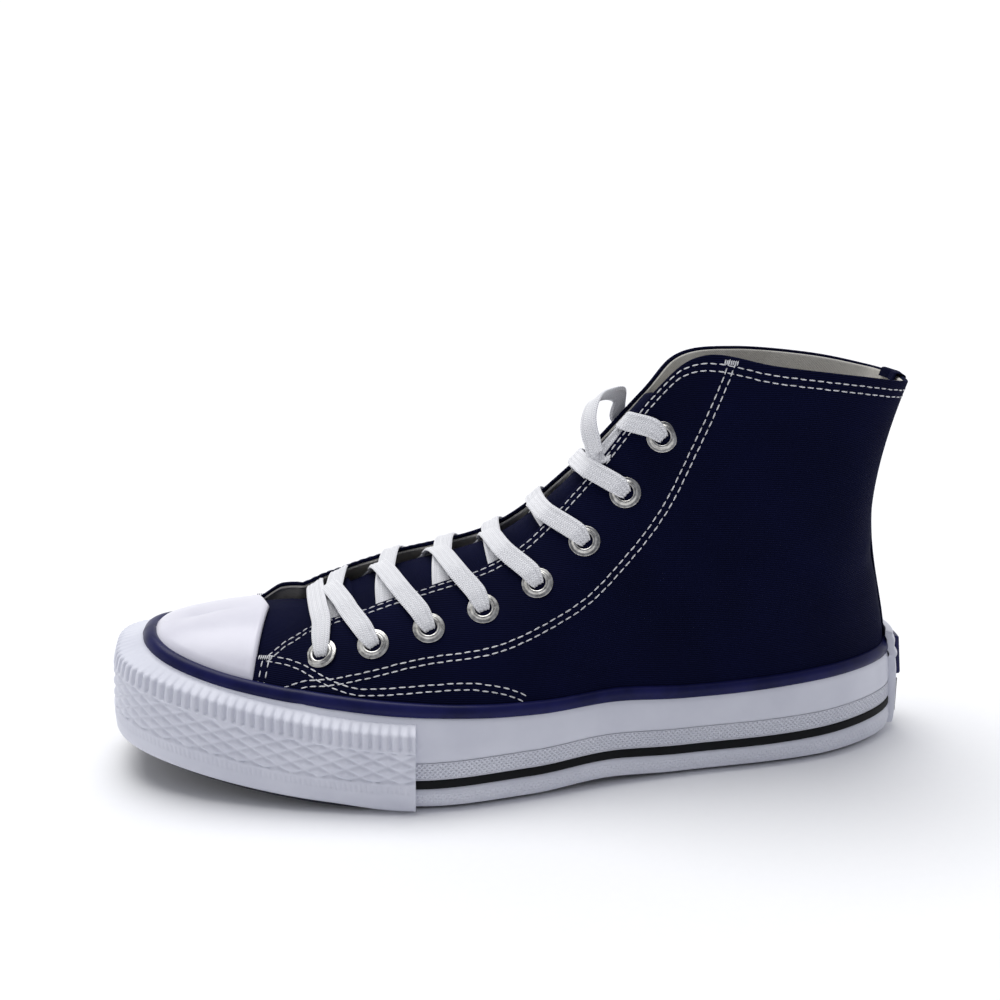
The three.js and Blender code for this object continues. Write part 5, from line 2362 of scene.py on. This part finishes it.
@dataclass
class Studio:
    """Pale level floor, a soft sky, one broad light and the camera."""

    azimuth: float = 10.06
    elevation: float = 16.06
    roll: float = 0.73
    distance: float = 513.2
    lens: float = 51.5
    target_x: float = 152.5
    target_z: float = 93.9
    floor_drop: float = 0.15
    floor_half: float = 40.0
    upward: Tuple[Tuple[float, Colour], ...] = ((0.35, (1.0, 1.0, 1.0)), (0.6, (0.5, 0.51, 0.54)))
    forward: Tuple[Tuple[float, Colour], ...] = ((0.1, (1.0, 1.0, 1.0)), (0.5, (0.36, 0.37, 0.41)))
    sky_power: float = 1.04
    key_from: Tuple[float, float, float] = (0.25, -0.5, 1.6)
    key_width: float = 45.0
    key_power: float = 2.1

    def camera(self) -> None:
        """Places the camera."""
        az, el, roll = (math.radians(v) for v in (self.azimuth, self.elevation, self.roll))
        back = np.array([math.sin(az) * math.cos(el), math.cos(az) * math.cos(el), math.sin(el)])
        right = unit(np.cross(-back, UP))
        up = np.cross(right, -back)
        cos, sin = math.cos(roll), math.sin(roll)
        right, up = cos * right + sin * up, cos * up - sin * right
        place = (np.array([self.target_x, 0, self.target_z]) + back * self.distance + SHIFT) * MM
        data = bpy.data.cameras.new("camera")
        data.lens, data.sensor_width = self.lens, 36.0
        data.clip_start, data.clip_end = 0.01, 50.0
        camera = bpy.data.objects.new("camera", data)
        camera.matrix_world = Matrix((
            (right[0], up[0], back[0], place[0]),
            (right[1], up[1], back[1], place[1]),
            (right[2], up[2], back[2], place[2]),
            (0, 0, 0, 1),
        ))
        bpy.context.scene.collection.objects.link(camera)
        bpy.context.scene.camera = camera

    def floor(self) -> None:
        """Lays the floor."""
        mesh = bpy.data.meshes.new("floor")
        half, z = self.floor_half, -self.floor_drop * MM
        corners = [(-half, -half, z), (half, -half, z), (half, half, z), (-half, half, z)]
        mesh.from_pydata(corners, [], [(0, 1, 2, 3)])
        piece = bpy.data.objects.new("floor", mesh)
        bpy.context.scene.collection.objects.link(piece)
        s = Shader("floor_paper")
        grain = s.noise(3.0, 4.0)
        mesh.materials.append(s.finish(
            Base_Color=s.mix(grain, (0.93, 0.93, 0.94), (0.95, 0.95, 0.955)),
            Roughness=0.9 - grain * 0.05,
            Specular_IOR_Level=0.1,
        ))

    def sky(self) -> None:
        """Pale soft room: white at the horizon and softer overhead."""
        world = bpy.data.worlds.new("studio")
        world.use_nodes = True
        sky = Nodes(world.node_tree)
        place = sky.node("ShaderNodeTexCoord", {}, {}, "Generated")
        shades = []
        for axis, stops in (("Z", self.upward), ("Y", self.forward)):
            part = sky.node("ShaderNodeSeparateXYZ", {}, {0: place}, axis)
            shades.append(sky.node("ShaderNodeValToRGB", {"stops": stops}, {0: part}))
        kind = {"data_type": "RGBA", "blend_type": "MULTIPLY"}
        both = sky.node("ShaderNodeMix", kind, {0: 1.0, 6: shades[0], 7: shades[1]}, 2)
        background = sky.tree.nodes["Background"]
        sky.connect(background.inputs["Color"], both)
        sky.connect(background.inputs["Strength"], self.sky_power)
        bpy.context.scene.world = world
        bpy.context.scene.view_settings.view_transform = "Standard"

    def sun(self, name: str, direction: Tuple[float, float, float], angle: float, power: float) -> None:
        """Adds one broad distant light.

        Args:
            name: its name.
            direction: towards the light.
            angle: how wide it looks, in degrees.
            power: its strength.
        """
        data = bpy.data.lights.new(name, "SUN")
        data.angle, data.energy = math.radians(angle), power
        lamp = bpy.data.objects.new(name, data)
        z = unit(np.array(direction, float))
        x = unit(np.cross(UP, z))
        y = np.cross(z, x)
        rows = [(x[k], y[k], z[k], 1.0 if k == 2 else 0.0) for k in range(3)]
        lamp.matrix_world = Matrix((*rows, (0, 0, 0, 1)))
        bpy.context.scene.collection.objects.link(lamp)

    def build(self) -> None:
        """Sets up the studio."""
        self.camera()
        self.floor()
        self.sky()
        self.sun("key", self.key_from, self.key_width, self.key_power)


def main() -> None:
    """Builds the studio and then the shoe, sub-assembly by sub-assembly."""
    logging.basicConfig(level=logging.INFO, format="%(message)s")
    Studio().build()
    kinds = (Laces, Upper, Tongue, ToeCap, Sidewall, ToeBumper, Outsole, Insole, HeelStrip, Eyelets, Stitching)
    for kind in kinds:
        kind().build()
        LOG.info("built %s", kind.__name__)


if __name__ == "__main__":
    main()
